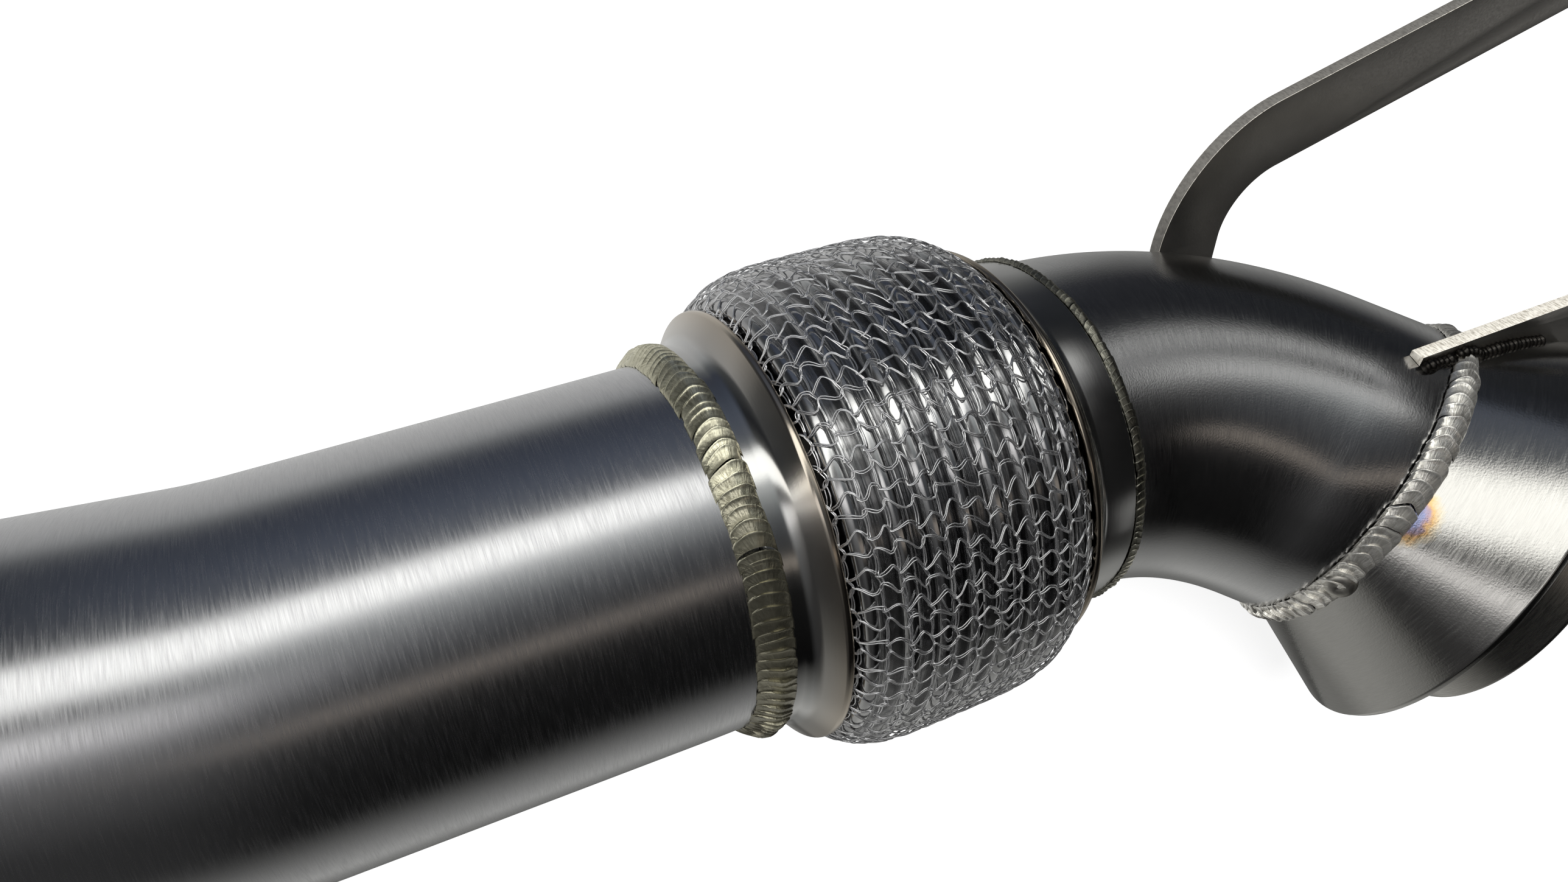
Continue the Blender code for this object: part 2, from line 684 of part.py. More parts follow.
def cope_cutters(parent):
    """Solids of the elbow and the cone, a gap larger, that shape the straps' feet."""
    frames = elbow_frames()
    elbow = swept_rod("elbow_cope", frames, [TUBE_RADIUS + GAP] * len(frames), TUBE_SEGMENTS, None, parent)
    cone = cone_frame()
    bead = CONE_SMALL_RADIUS + CONE_WELD_RISE + 2 * GAP
    half = CONE_WELD_WIDTH / 2 + GAP
    stops = [(-half, bead), (half, bead)]
    stops += [(x, r + GAP) for x, r in cone_outer_line() if x > half]
    stops.append((CONE_LENGTH + RIM_TURN + GAP, CONE_RIM_RADIUS + GAP))
    frames = [cone @ Matrix.Translation((0, 0, x)) for x, _ in stops]
    turbo = swept_rod("cone_cope", frames, [r for _, r in stops], TUBE_SEGMENTS, None, parent)
    return cutter(elbow), cutter(turbo)


def straps(pipe, mats, parent):
    """Both straps, coped to the pipe, drilled and welded."""
    bar, bead = mats
    right, up = strap_axes()
    through = up.cross(right)
    tools = cope_cutters(parent)
    made = []
    rear = Vector((ELBOW_START, TUBE_RADIUS, 0)) + Vector(REAR_STRAP_FOOT)
    front = cone_frame().translation + Vector((0, 0, TUBE_RADIUS)) + Vector(FRONT_STRAP_CORNER)
    rows = (
        ("rear_strap", rear, rear_strap_outline(), REAR_WELD_REACH, ("upper", "lower")),
        ("front_strap", front, front_strap_outline(), FRONT_WELD_REACH, ("near", "far")),
    )
    for name, origin, (outline, tip), reach, sides in rows:
        strap = plate(name, outline, origin, right, up, bar, parent)
        for tool in tools:
            cut(strap, tool)
        cut(strap, bolt_hole(name + "_hole", origin, right, up, tip, parent))
        made.append(strap)
        faces = ((origin, -through), (origin + through * STRAP_THICKNESS, through))
        for side, (start, outward) in zip(sides, faces):
            weld = strap_weld(name + "_weld_" + side, pipe, start, right, up, outward, reach, bead, parent)
            made.append(weld)
    return made


def settle(root, parts):
    """Moves the design so that the origin is at the middle of the box's floor."""
    bpy.context.view_layer.update()
    depsgraph = bpy.context.evaluated_depsgraph_get()
    points = []
    for obj in parts:
        evaluated = obj.evaluated_get(depsgraph)
        mesh = evaluated.to_mesh()
        points += [v.co.copy() for v in mesh.vertices]
        evaluated.to_mesh_clear()
    low = Vector([min(p[i] for p in points) for i in range(3)])
    high = Vector([max(p[i] for p in points) for i in range(3)])
    root.location = (-(low.x + high.x) / 2, -(low.y + high.y) / 2, -low.z)


def build():
    for obj in list(bpy.data.objects):
        bpy.data.objects.remove(obj)
    root = bpy.data.objects.new("downpipe", None)
    bpy.context.scene.collection.objects.link(root)

    satin = material("satin_stainless", (0.36, 0.35, 0.34), 0.32)
    pressed = material("pressed_stainless", (0.42, 0.41, 0.40), 0.28)
    bright = material("bright_stainless", (0.62, 0.62, 0.62), 0.22)
    wire = material("knitted_wire", (0.55, 0.55, 0.55), 0.30)
    bead = material("weld_bead", (0.60, 0.57, 0.50), 0.35)
    machined = material("machined_stainless", (0.45, 0.44, 0.43), 0.30)
    bar = material("flat_bar", (0.30, 0.28, 0.26), 0.45)

    flex = frame_along((0, 0, 0), (1, 0, 0))
    cone = cone_frame()
    outlet_tube = swept_tube("outlet_tube", outlet_frames(), TUBE_RADIUS, TUBE_BORE, satin, root)
    elbow = swept_tube("elbow", elbow_frames(), TUBE_RADIUS, TUBE_BORE, satin, root)

    outlet_cap = cap_profile(OUTLET_CAP_WALL, CAP_NIPPLE)
    inlet_cap = cap_profile(INLET_CAP_WALL, CAP_NIPPLE + INLET_SLEEVE_EXTRA)
    ring_start = CAP_SEAT + CAP_NIPPLE + 5 * GAP
    ring_outline = [
        (ring_start, CAP_BORE),
        (ring_start, CAP_BORE + RING_WALL),
        (ring_start + RING_LENGTH, CAP_BORE + RING_WALL),
        (ring_start + RING_LENGTH, CAP_BORE),
    ]
    turned_pieces = (
        ("flex_outlet_cap", outlet_cap, TUBE_SEGMENTS, pressed),
        ("flex_inlet_cap", mirror_along(inlet_cap, FLEX_MIDDLE), TUBE_SEGMENTS, pressed),
        ("flex_outlet_ring", ring_outline, FLEX_SEGMENTS, pressed),
        ("flex_inlet_ring", mirror_along(ring_outline, FLEX_MIDDLE), FLEX_SEGMENTS, pressed),
        ("flex_liner", liner_profile(), FLEX_SEGMENTS, bright),
        ("flex_bellows", bellows_profile(), FLEX_SEGMENTS, bright),
    )
    parts = [outlet_tube, elbow]
    for name, profile, segments, mat in turned_pieces:
        parts.append(turned(name, profile, flex, segments, mat, root))
    parts.append(knitted_sleeve(wire, root))

    turbo_cone = turned("turbo_cone", cone_profile(), cone, TUBE_SEGMENTS, satin, root)
    parts.append(turbo_cone)
    parts.append(turned("turbo_flange", flange_profile(), cone, TUBE_SEGMENTS, machined, root))
    parts.append(turned("turbo_flange_weld", flange_weld_profile(), cone, TUBE_SEGMENTS, bead, root))

    along = Vector((1, 0, 0))
    outlet_seats = (TUBE_RADIUS, CAP_BORE + OUTLET_CAP_WALL)
    outlet_size = (OUTLET_WELD_WIDTH, OUTLET_WELD_RISE)
    parts.append(weld_ring("outlet_weld", flex, along, outlet_seats, CAP_SEAT, outlet_size,
                           OUTLET_WELD_RIPPLES, bead, root))
    seam_frame = frame_along((ELBOW_START, 0, 0), -along)
    seam_seats = (TUBE_RADIUS, CAP_BORE + INLET_CAP_WALL)
    seam_size = (SEAM_WELD_WIDTH, SEAM_WELD_RISE)
    parts.append(weld_ring("inlet_seam_weld", seam_frame, -along, seam_seats, ELBOW_START - SEAM_SLEEVE_END,
                           seam_size, 0, bead, root))
    neck = radius_at(cone_outer_line(), CONE_WELD_WIDTH / 2)
    elbow_way = elbow_route().direction
    cone_weld = weld_ring("cone_weld", cone, elbow_way, (TUBE_RADIUS, neck), None,
                          (CONE_WELD_WIDTH, CONE_WELD_RISE), CONE_WELD_RIPPLES, bead, root)
    parts.append(cone_weld)
    pipe = pipe_surface([elbow, turbo_cone, cone_weld])
    parts += straps(pipe, (bar, bead), root)
    settle(root, parts)


if __name__ == "__main__":
    build()
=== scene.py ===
import json
from math import cos, degrees, pi, radians, sin, sqrt, tan

import bpy
import numpy as np
from mathutils import Matrix, Vector

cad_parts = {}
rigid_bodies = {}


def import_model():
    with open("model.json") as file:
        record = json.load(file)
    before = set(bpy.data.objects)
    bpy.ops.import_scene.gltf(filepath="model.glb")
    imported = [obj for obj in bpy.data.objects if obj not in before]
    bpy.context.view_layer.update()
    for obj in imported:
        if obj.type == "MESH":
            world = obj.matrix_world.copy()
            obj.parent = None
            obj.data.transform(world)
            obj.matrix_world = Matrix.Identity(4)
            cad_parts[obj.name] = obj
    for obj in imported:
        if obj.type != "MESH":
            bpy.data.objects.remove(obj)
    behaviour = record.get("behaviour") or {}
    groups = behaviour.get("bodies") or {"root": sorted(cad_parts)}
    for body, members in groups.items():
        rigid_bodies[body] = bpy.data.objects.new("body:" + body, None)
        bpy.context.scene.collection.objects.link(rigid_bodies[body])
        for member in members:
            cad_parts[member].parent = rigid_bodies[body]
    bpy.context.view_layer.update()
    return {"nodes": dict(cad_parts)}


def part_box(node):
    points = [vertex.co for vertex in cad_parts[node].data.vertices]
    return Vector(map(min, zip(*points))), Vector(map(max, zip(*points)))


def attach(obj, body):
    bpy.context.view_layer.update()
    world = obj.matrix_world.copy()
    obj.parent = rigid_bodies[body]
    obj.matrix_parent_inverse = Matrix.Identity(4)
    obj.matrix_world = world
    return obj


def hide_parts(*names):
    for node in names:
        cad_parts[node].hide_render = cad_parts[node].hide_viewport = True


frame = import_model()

MM = 0.001

# the photo's frame in pixels, and its camera in millimetres from the middle of the outlet weld
PHOTO_WIDTH = 2576
FOCAL_PIXELS = 1951.18
CAMERA_SPOT = (-63.71, -90.51, 217.75)
CAMERA_LOOK = (0.35616, 0.41009, -0.83963)
CAMERA_UP = (0.27855, 0.81111, 0.51431)
SENSOR_WIDTH = 36.0

# sizes in millimetres, from the middle of the outlet weld, +X along the flex
TUBE_RADIUS = 38.1
TUBE_WALL = 1.5
FLEX_LENGTH = 79.0
FLEX_MIDDLE = FLEX_LENGTH / 2
CAP_BORE = 38.4
LIP_RADIUS = 45.7
LIP_DEPTH = 12.6
ELBOW_START = 83.0
ELBOW_LEAD = 7.0
ELBOW_BEND = 84.0
ELBOW_TURN = 45.0
ELBOW_LEG = 16.3
ROUND_STEPS = 144
MERGE_DISTANCE = 0.002 * MM
UP = Vector((0, 0, 1))


def flex_start():
    """The middle of the outlet weld in the frame, half a flex before the sleeve's middle."""
    low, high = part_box("flex_mesh")
    return (low + high) / 2 - Vector((FLEX_MIDDLE * MM, 0, 0))


START = flex_start()


def place(x, y, z):
    return START + Vector((x, y, z)) * MM


# ---- modelling by hand


def set_mode(mode):
    bpy.ops.object.mode_set(mode=mode)


def drop_selection():
    if bpy.context.mode != "OBJECT":
        set_mode("OBJECT")
    bpy.ops.object.select_all(action="DESELECT")


def pick(obj):
    """Leaves one object selected and active."""
    drop_selection()
    obj.select_set(True)
    bpy.context.view_layer.objects.active = obj


def take_all():
    bpy.ops.mesh.select_all(action="SELECT")


def edit_all(obj):
    pick(obj)
    set_mode("EDIT")
    take_all()


def merge_doubles():
    take_all()
    bpy.ops.mesh.remove_doubles(threshold=MERGE_DISTANCE)


def face_outwards():
    """Turns every face outwards and leaves edit mode."""
    bpy.ops.mesh.normals_make_consistent(inside=False)
    set_mode("OBJECT")


def extrude(step):
    bpy.ops.mesh.extrude_region_move(TRANSFORM_OT_translate={"value": step})


def first_point(point):
    """A lone point in edit mode, to draw an outline from."""
    drop_selection()
    bpy.ops.mesh.primitive_plane_add(size=MM, location=point)
    set_mode("EDIT")
    bpy.ops.mesh.select_mode(type="VERT")
    take_all()
    bpy.ops.mesh.merge(type="CENTER")
    return bpy.context.object


def draw(points):
    """Extrudes the selected point from each point to the next."""
    for here, there in zip(points, points[1:]):
        extrude(there - here)


def tidy_faces():
    merge_doubles()
    face_outwards()


def to_origin(obj):
    pick(obj)
    bpy.ops.object.transform_apply(location=True, rotation=True, scale=True)


def apply_modifier(obj, kind, **settings):
    """Adds a modifier with its settings and applies it."""
    pick(obj)
    modifier = obj.modifiers.new(kind.lower(), kind)
    for key, value in settings.items():
        setattr(modifier, key, value)
    bpy.ops.object.modifier_apply(modifier=modifier.name)


def break_edges(obj, width, segments):
    apply_modifier(obj, "BEVEL", width=width * MM, segments=segments, limit_method="ANGLE",
                   angle_limit=radians(50))


def cut_away(obj, tool):
    apply_modifier(obj, "BOOLEAN", operation="DIFFERENCE", solver="EXACT", object=tool)


def smooth(obj, angle=32):
    pick(obj)
    bpy.ops.object.shade_smooth_by_angle(angle=radians(angle))


def lathe(outline, centre, axis, steps=ROUND_STEPS):
    """Turns a closed outline of (along, radius) points round an axis."""
    side = axis.orthogonal().normalized()
    line = [centre + axis * (x * MM) + side * (r * MM) for x, r in outline]
    obj = first_point(line[0])
    draw(line + [line[0]])
    merge_doubles()
    take_all()
    bpy.ops.mesh.spin(steps=steps, angle=2 * pi, center=centre, axis=axis)
    tidy_faces()
    to_origin(obj)
    smooth(obj)
    return obj


class Bender:
    """A tube's skin, drawn from a ring by pushing it straight and bending it."""

    def __init__(self, point, direction, radius):
        drop_selection()
        self.point = Vector(point)
        self.direction = Vector(direction).normalized()
        self.side = UP.copy()
        self.frames = []
        self.note()
        turn = self.direction.to_track_quat("Z", "Y").to_euler()
        bpy.ops.mesh.primitive_circle_add(vertices=ROUND_STEPS, radius=radius * MM,
                                          location=point, rotation=turn)
        self.obj = bpy.context.object
        bpy.ops.object.transform_apply(location=False, rotation=True, scale=False)
        set_mode("EDIT")
        bpy.ops.mesh.select_mode(type="EDGE")
        take_all()

    def note(self):
        self.frames.append((self.point.copy(), self.direction.copy(), self.side.copy()))

    def straight(self, length):
        push = self.direction * (length * MM)
        extrude(push)
        self.point = self.point + push
        self.note()

    def bend(self, radius, angle, towards, steps):
        """Bends by degrees towards a direction."""
        across = Vector(towards)
        across = (across - self.direction * across.dot(self.direction)).normalized()
        axis = self.direction.cross(across)
        centre = self.point + across * (radius * MM)
        bpy.ops.mesh.spin(steps=steps, angle=-radians(angle), center=centre, axis=axis)
        turn = Matrix.Rotation(radians(angle) / steps, 3, axis)
        for _ in range(steps):
            self.point = centre + turn @ (self.point - centre)
            self.direction = turn @ self.direction
            self.side = turn @ self.side
            self.note()

    def finish(self, wall):
        """Gives the skin its wall, inwards, and breaks the cut edges."""
        tidy_faces()
        to_origin(self.obj)
        if wall:
            apply_modifier(self.obj, "SOLIDIFY", thickness=wall * MM, offset=-1,
                           use_even_offset=True)
            break_edges(self.obj, 0.2, 2)
        smooth(self.obj)
        return self.obj


def points_of(obj):
    flat = np.empty(len(obj.data.vertices) * 3)
    obj.data.vertices.foreach_get("co", flat)
    return flat.reshape(-1, 3)


def move_points(obj, points):
    obj.data.vertices.foreach_set("co", np.asarray(points, float).ravel())
    obj.data.update()


def store_vectors(obj, name, values):
    store = obj.data.attributes.new(name, "FLOAT_VECTOR", "POINT")
    store.data.foreach_set("vector", values.astype(np.float32).ravel())


def lay_out(obj, frames):
    """Stores each point's place on the tube as if it were straight: along, and round it.

    The brushed and rolled finishes follow these, so their lines go round every bend.
    """
    points = points_of(obj)
    spots, ways, sides = (np.array([f[k] for f in frames]) for k in range(3))
    ups = np.cross(ways, sides)
    steps = np.linalg.norm(np.diff(spots, axis=0), axis=1)
    runs = np.concatenate([[0], np.cumsum(steps)])
    best = np.full(len(points), np.inf)
    laid = np.zeros((len(points), 3))
    for spot, way, side, up, run in zip(spots, ways, sides, ups, runs):
        arm = points - spot
        ahead = arm @ way
        too_far = np.linalg.norm(arm, axis=1) > 3 * TUBE_RADIUS * MM
        far = np.abs(ahead) + np.where(too_far, 1.0, 0.0)
        closer = far < best
        best = np.where(closer, far, best)
        here = np.stack([run + ahead, arm @ side, arm @ up], axis=1)
        laid[closer] = here[closer]
    store_vectors(obj, "laid_out", laid)


def fillet(before, corner, after, radius, steps):
    """The points of a fillet at a corner between two neighbouring points."""
    here = Vector(corner)
    back = (Vector(before) - here).normalized()
    ahead = (Vector(after) - here).normalized()
    half = back.angle(ahead) / 2
    centre = here + (back + ahead).normalized() * radius / sin(half)
    start = here + back * radius / tan(half) - centre
    end = here + ahead * radius / tan(half) - centre
    spread = [centre + start.lerp(end, k / steps).normalized() * radius for k in range(steps + 1)]
    return [(p.x, p.y) for p in spread]


def rounded(corners):
    """Fillets a closed outline of (x, y, radius, steps) corners, steps 0 for a sharp one."""
    points = []
    for k, (x, y, radius, steps) in enumerate(corners):
        if steps == 0:
            points.append((x, y))
        else:
            after = corners[(k + 1) % len(corners)]
            points += fillet(corners[k - 1][:2], (x, y), after[:2], radius, steps)
    return points


def wander(u, v, seed, size, turns=(1, 6), waves=(0.0, 0.25)):
    """A smooth seeded unevenness of about the given size; u is an angle, v a length in mm."""
    rng = np.random.default_rng(seed)
    total = np.zeros(np.broadcast(u, v).shape)
    count = 8
    for _ in range(count):
        around = rng.integers(turns[0], turns[1] + 1) * rng.choice((-1, 1))
        along = rng.uniform(*waves) * 2 * pi
        total = total + np.sin(around * u + along * v + rng.uniform(0, 2 * pi))
    return total * size / sqrt(count / 2)


# ---- finishes


class NodeTree:
    """The nodes of a material or of the world, put together one by one."""

    def __init__(self, owner):
        owner.use_nodes = True
        self.nodes = owner.node_tree.nodes
        self.links = owner.node_tree.links

    def feed(self, value, socket):
        """Joins an output to an input, or sets the input to a plain value or colour."""
        if isinstance(value, bpy.types.NodeSocket):
            self.links.new(value, socket)
        elif socket.type == "RGBA":
            socket.default_value = (*value, 1)
        else:
            socket.default_value = value

    def node(self, kind, inputs=(), **settings):
        made = self.nodes.new("ShaderNode" + kind)
        for key, value in settings.items():
            setattr(made, key, value)
        for key, value in dict(inputs).items():
            self.feed(value, made.inputs[key])
        return made

    def axes(self, vector):
        """A vector's values, by the names of their axes."""
        return self.node("SeparateXYZ", {"Vector": vector}).outputs

    def maths(self, operation, *values):
        return self.node("Math", enumerate(values), operation=operation).outputs[0]

    def spread(self, source, low, high, to_low=0, to_high=1):
        """Maps a value's range on to another."""
        values = enumerate((source, low, high, to_low, to_high))
        return self.node("MapRange", values).outputs["Result"]

    def blend(self, factor, first, second):
        """Mixes two colours or colour outputs by a factor."""
        return self.node("Mix", {0: factor, 6: first, 7: second}, data_type="RGBA").outputs[2]

    def ramp(self, source, stops):
        """The colour for a value, from stops of a value and a colour."""
        node = self.node("ValToRGB", {"Fac": source})
        elements = node.color_ramp.elements
        elements.remove(elements[-1])
        for k, (spot, hue) in enumerate(stops):
            element = elements[0] if k == 0 else elements.new(spot)
            element.position = spot
            element.color = (*hue, 1)
        return node.outputs["Color"]


class Finish(NodeTree):
    """A material, with its surface and its bumps."""

    def __init__(self, name, color, roughness, metallic=1.0):
        self.mat = bpy.data.materials.new(name)
        super().__init__(self.mat)
        self.shader = self.nodes["Principled BSDF"].inputs
        self.color(color)
        self.roughness(roughness)
        self.feed(metallic, self.shader["Metallic"])
        self.mat.diffuse_color = (*color, 1)
        self.last_bump = None

    def stored(self, name):
        """A vector that the mesh carries at each of its points."""
        return self.node("Attribute", attribute_name=name).outputs["Vector"]

    def spot(self):
        """The place on the object."""
        return self.node("TexCoord").outputs["Object"]

    def grain(self, stretch, detail=3.0, roughness=0.55, stored="laid_out"):
        """Noise with a scale per metre, one for all directions or one for each."""
        coords = self.stored(stored) if stored else self.spot()
        scale = stretch if isinstance(stretch, tuple) else (stretch,) * 3
        laid = self.node("Mapping", {"Vector": coords, "Scale": scale}).outputs["Vector"]
        return self.node("TexNoise", {"Vector": laid, "Scale": 1.0, "Detail": detail,
                                      "Roughness": roughness}).outputs["Fac"]

    def specks(self, stretch, detail=3.0):
        """Noise in the object's own space."""
        return self.grain(stretch, detail, stored=None)

    def color(self, value):
        self.feed(value, self.shader["Base Color"])

    def roughness(self, value):
        self.feed(value, self.shader["Roughness"])

    def bump(self, height, distance):
        """Adds a bump of a depth in millimetres, on top of the one before."""
        inputs = {"Distance": distance * MM, "Height": height}
        if self.last_bump:
            inputs["Normal"] = self.last_bump
        self.last_bump = self.node("Bump", inputs).outputs["Normal"]
        self.feed(self.last_bump, self.shader["Normal"])


def brushed(name, color, shade, roughness, streak, sand=0.0, heat=None):
    """Tube that was brushed round its axis: short fine lines, faint clouds, and a sandy glitter."""
    made = Finish(name, color, roughness)
    lines = made.grain((8000, 330, 330), detail=5, roughness=0.6)
    fine = made.grain((4200, 220, 220))
    clouds = made.grain(30, detail=4)
    tone = made.blend(made.spread(lines, 0.35, 0.65), shade, color)
    tone = made.blend(made.spread(clouds, 0.3, 0.7, 0, 0.35), tone, shade)
    if heat:
        tone = heat_tint(made, tone, heat)
    made.color(tone)
    made.roughness(made.spread(fine, 0.3, 0.7, roughness - 0.05, roughness + 0.07))
    made.bump(lines, streak)
    made.bump(fine, streak * 1.6)
    if sand:
        made.bump(made.grain(2300, detail=2), sand)
    return made.mat


# the colours that heat leaves, from the middle of a hot spot out to 10 mm
HEAT_REACH = 10.0
HEAT_RINGS = (
    (0.0, (0.3, 0.32, 0.4)), (0.34, (0.22, 0.25, 0.46)), (0.44, (0.36, 0.24, 0.3)),
    (0.53, (0.7, 0.4, 0.1)), (0.66, (0.7, 0.56, 0.32)),
)


def heat_tint(made, tone, centre):
    """Rings of heat colour round a spot beside the weld: grey blue, violet, orange, straw."""
    far = made.node("VectorMath", {0: made.spot(), 1: centre}, operation="DISTANCE")
    ragged = made.spread(made.specks(420), 0.3, 0.7, -0.7 * MM, 0.7 * MM)
    reach = made.maths("ADD", far.outputs["Value"], ragged)
    rings = made.ramp(made.spread(reach, 0, HEAT_REACH * MM), HEAT_RINGS)
    return made.blend(made.spread(reach, 5.0 * MM, 7.6 * MM, 0.85, 0), tone, rings)


def polished(name, color, shade, roughness, lip=None):
    """Pressed steel, polished smooth, softly wavy and finely grained, with a tint at its lip."""
    made = Finish(name, color, roughness)
    rub = made.grain((1500, 90, 90))
    clouds = made.grain(45, detail=4)
    tone = made.blend(made.spread(clouds, 0.35, 0.65), shade, color)
    if lip:
        along = made.axes(made.stored("laid_out"))["X"]
        away = made.maths("ABSOLUTE", made.maths("SUBTRACT", along, FLEX_MIDDLE * MM))
        tone = made.blend(made.spread(away, 27 * MM, 32.5 * MM, 0.8, 0), tone, lip)
    made.color(tone)
    made.roughness(made.spread(clouds, 0.3, 0.7, roughness - 0.03, roughness + 0.07))
    made.bump(rub, 0.004)
    made.bump(made.specks(3200, detail=2), 0.002)
    made.bump(clouds, 0.03)
    return made.mat


def weld_metal(name, color, shade, tint, roughness, metallic=1.0, painted_near_shade=None):
    """Weld bead: a painted highlight on each puddle's rim, fibres running in from it, painted shade
    in the crevices.
    """
    made = Finish(name, color, roughness, metallic)
    fibres = made.grain((8.5, 0.9, 1.0), stored="puddle")
    grains = made.specks(1500)
    patches = made.specks(170)
    phase = made.axes(made.stored("puddle"))["Y"]
    tone = made.blend(made.spread(fibres, 0.4, 0.6), shade, color)
    tone = made.blend(made.spread(grains, 0.42, 0.66, 0, 0.6), tone, tint)
    tone = made.blend(made.spread(patches, 0.45, 0.62, 0, 0.65), tone, tint)
    # painted highlight just past each puddle's step, and painted shade in the crevice before the
    # next step
    tone = made.blend(made.spread(phase, 0.1, 0.24, 0.8, 0), tone, color)
    tone = made.blend(made.spread(phase, 0.8, 1.02, 0, 0.8), tone, shade)
    # painted shade: the bead's near side is blended towards a dark brown
    if painted_near_shade:
        side = made.axes(made.spot())["Y"]
        near = made.spread(side, START.y - 10 * MM, START.y - 30 * MM, 0, 0.85)
        tone = made.blend(near, tone, painted_near_shade)
    made.color(tone)
    made.roughness(made.spread(patches, 0.3, 0.7, roughness - 0.06, roughness + 0.1))
    made.bump(grains, 0.03)
    made.bump(fibres, 0.07)
    made.bump(patches, 0.1)
    return made.mat


def plain_metal(name, color, shade, roughness, grain_size=900, depth=0.01, metallic=1.0):
    made = Finish(name, color, roughness, metallic)
    grains = made.specks(grain_size)
    clouds = made.specks(60)
    made.color(made.blend(made.spread(clouds, 0.3, 0.7), shade, color))
    made.roughness(made.spread(grains, 0.3, 0.7, roughness - 0.04, roughness + 0.06))
    made.bump(grains, depth)
    return made.mat


def cut_steel(name, color, shade, metallic):
    """The rough torn grain of a sheared edge, light and nearly matt, its fibres across the bar."""
    made = Finish(name, color, 0.62, metallic)
    fibres = made.specks((2600, 700, 700))
    pits = made.specks(1500, detail=4)
    tone = made.blend(made.spread(fibres, 0.38, 0.58), shade, color)
    made.color(made.blend(made.spread(pits, 0.42, 0.62, 0, 0.55), tone, color))
    made.roughness(made.spread(pits, 0.3, 0.7, 0.5, 0.75))
    made.bump(fibres, 0.12)
    made.bump(pits, 0.1)
    return made.mat


TUBE_STEEL = brushed("brushed_tube", (0.6, 0.6, 0.61), (0.55, 0.55, 0.57), 0.23, 0.003)
ELBOW_STEEL = brushed("brushed_elbow", (0.6, 0.6, 0.6), (0.55, 0.55, 0.56), 0.18, 0.0035,
                      sand=0.018)
CAP_STEEL = polished("polished_collar", (0.62, 0.62, 0.61), (0.56, 0.56, 0.56), 0.13,
                     lip=(0.6, 0.5, 0.38))
ROLLED_STEEL = polished("rolled_bellows", (0.66, 0.66, 0.66), (0.54, 0.54, 0.55), 0.12)
TURNED_STEEL = brushed("turned_spigot", (0.55, 0.53, 0.5), (0.42, 0.41, 0.39), 0.26, 0.006)
WIRE = plain_metal("bright_wire", (0.93, 0.93, 0.94), (0.8, 0.8, 0.82), 0.15, 900, 0.004, 0.97)
# the outlet bead, with painted shade in dark brown on its near side
STRAW_BEAD = weld_metal("straw_bead", (0.96, 0.93, 0.72), (0.42, 0.4, 0.29), (0.78, 0.75, 0.58),
                        0.24, 0.97, painted_near_shade=(0.24, 0.225, 0.17))
SILVER_BEAD = weld_metal("silver_bead", (0.97, 0.95, 0.9), (0.5, 0.48, 0.44), (0.8, 0.78, 0.72),
                         0.24, 0.92)
STOP_BEAD = plain_metal("stop_bead", (0.72, 0.7, 0.65), (0.52, 0.5, 0.46), 0.38, 1500, 0.03)
BROWN_BEAD = weld_metal("brown_bead", (0.42, 0.41, 0.35), (0.12, 0.12, 0.1), (0.28, 0.27, 0.22),
                        0.36)
DARK_BEAD = plain_metal("dark_bead", (0.1, 0.092, 0.083), (0.04, 0.037, 0.034), 0.3, 1400, 0.04)
BAR = plain_metal("rolled_bar", (0.46, 0.445, 0.42), (0.38, 0.365, 0.345), 0.34, 1600, 0.02)
CUT_EDGE = cut_steel("cut_edge", (0.93, 0.89, 0.8), (0.46, 0.42, 0.35), 0.25)
# painted shade: the rear bar's narrow sides get the cut steel much darker than the front bar's
SHADED_CUT_EDGE = cut_steel("sawn_edge", (0.25, 0.24, 0.22), (0.16, 0.152, 0.14), 0.45)
PLAIN_RING = plain_metal("plain_ring", (0.5, 0.5, 0.5), (0.42, 0.42, 0.42), 0.3)


def hand_over(obj, name, slot, finish, *nodes):
    """Names a finished piece, gives it its finish and lets it stand for its solids."""
    obj.name = name
    obj.data.name = name
    obj.data.materials.clear()
    obj.data.materials.append(finish)
    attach(obj, "root")
    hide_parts(*nodes)


def turned_piece(name, slot, finish, node, outline, frame_at, steps=ROUND_STEPS):
    """A piece that is turned round an axis; frame_at is its middle, axis and upper side."""
    obj = lathe(outline, frame_at[0], frame_at[1], steps)
    lay_out(obj, [frame_at])
    hand_over(obj, name, slot, finish, node)


# ---- tubes

FLEX_AXIS = Vector((1, 0, 0))
FLEX_FRAME = (START, FLEX_AXIS, UP)


def outlet_pipe():
    """From the flex: a stub inside the cap, a slight kink, a straight, a bend and the long end."""
    inside, stub, kink_run, straight, end = 8.2, 11.65, 8.0, 66.55, 150.0
    bend_radius, bend_angle = 142.0, 6.3
    side, drop = radians(1.8), radians(2.8)
    away = Vector((-cos(side) * cos(drop), sin(side) * cos(drop), -sin(drop)))
    turn = Vector((-1, 0, 0)).angle(away)
    tube = Bender(place(inside, 0, 0), (-1, 0, 0), TUBE_RADIUS)
    tube.straight(stub)
    tube.bend(kink_run / turn, degrees(turn), away, 6)
    tube.straight(straight)
    tube.bend(bend_radius, bend_angle, (0, 1, 0), 12)
    tube.straight(end)
    obj = tube.finish(TUBE_WALL)
    lay_out(obj, tube.frames)
    hand_over(obj, "outlet_pipe", "satin_stainless", TUBE_STEEL, "outlet_tube")


def elbow_line(radius=TUBE_RADIUS, leg_extra=8.0):
    tube = Bender(place(ELBOW_START - ELBOW_LEAD, 0, 0), (1, 0, 0), radius)
    tube.straight(ELBOW_LEAD)
    tube.bend(ELBOW_BEND, ELBOW_TURN, (0, -1, 0), 40)
    tube.straight(ELBOW_LEG + leg_extra)
    return tube


def elbow_way():
    angle = radians(ELBOW_TURN)
    return Vector((cos(angle), -sin(angle), 0))


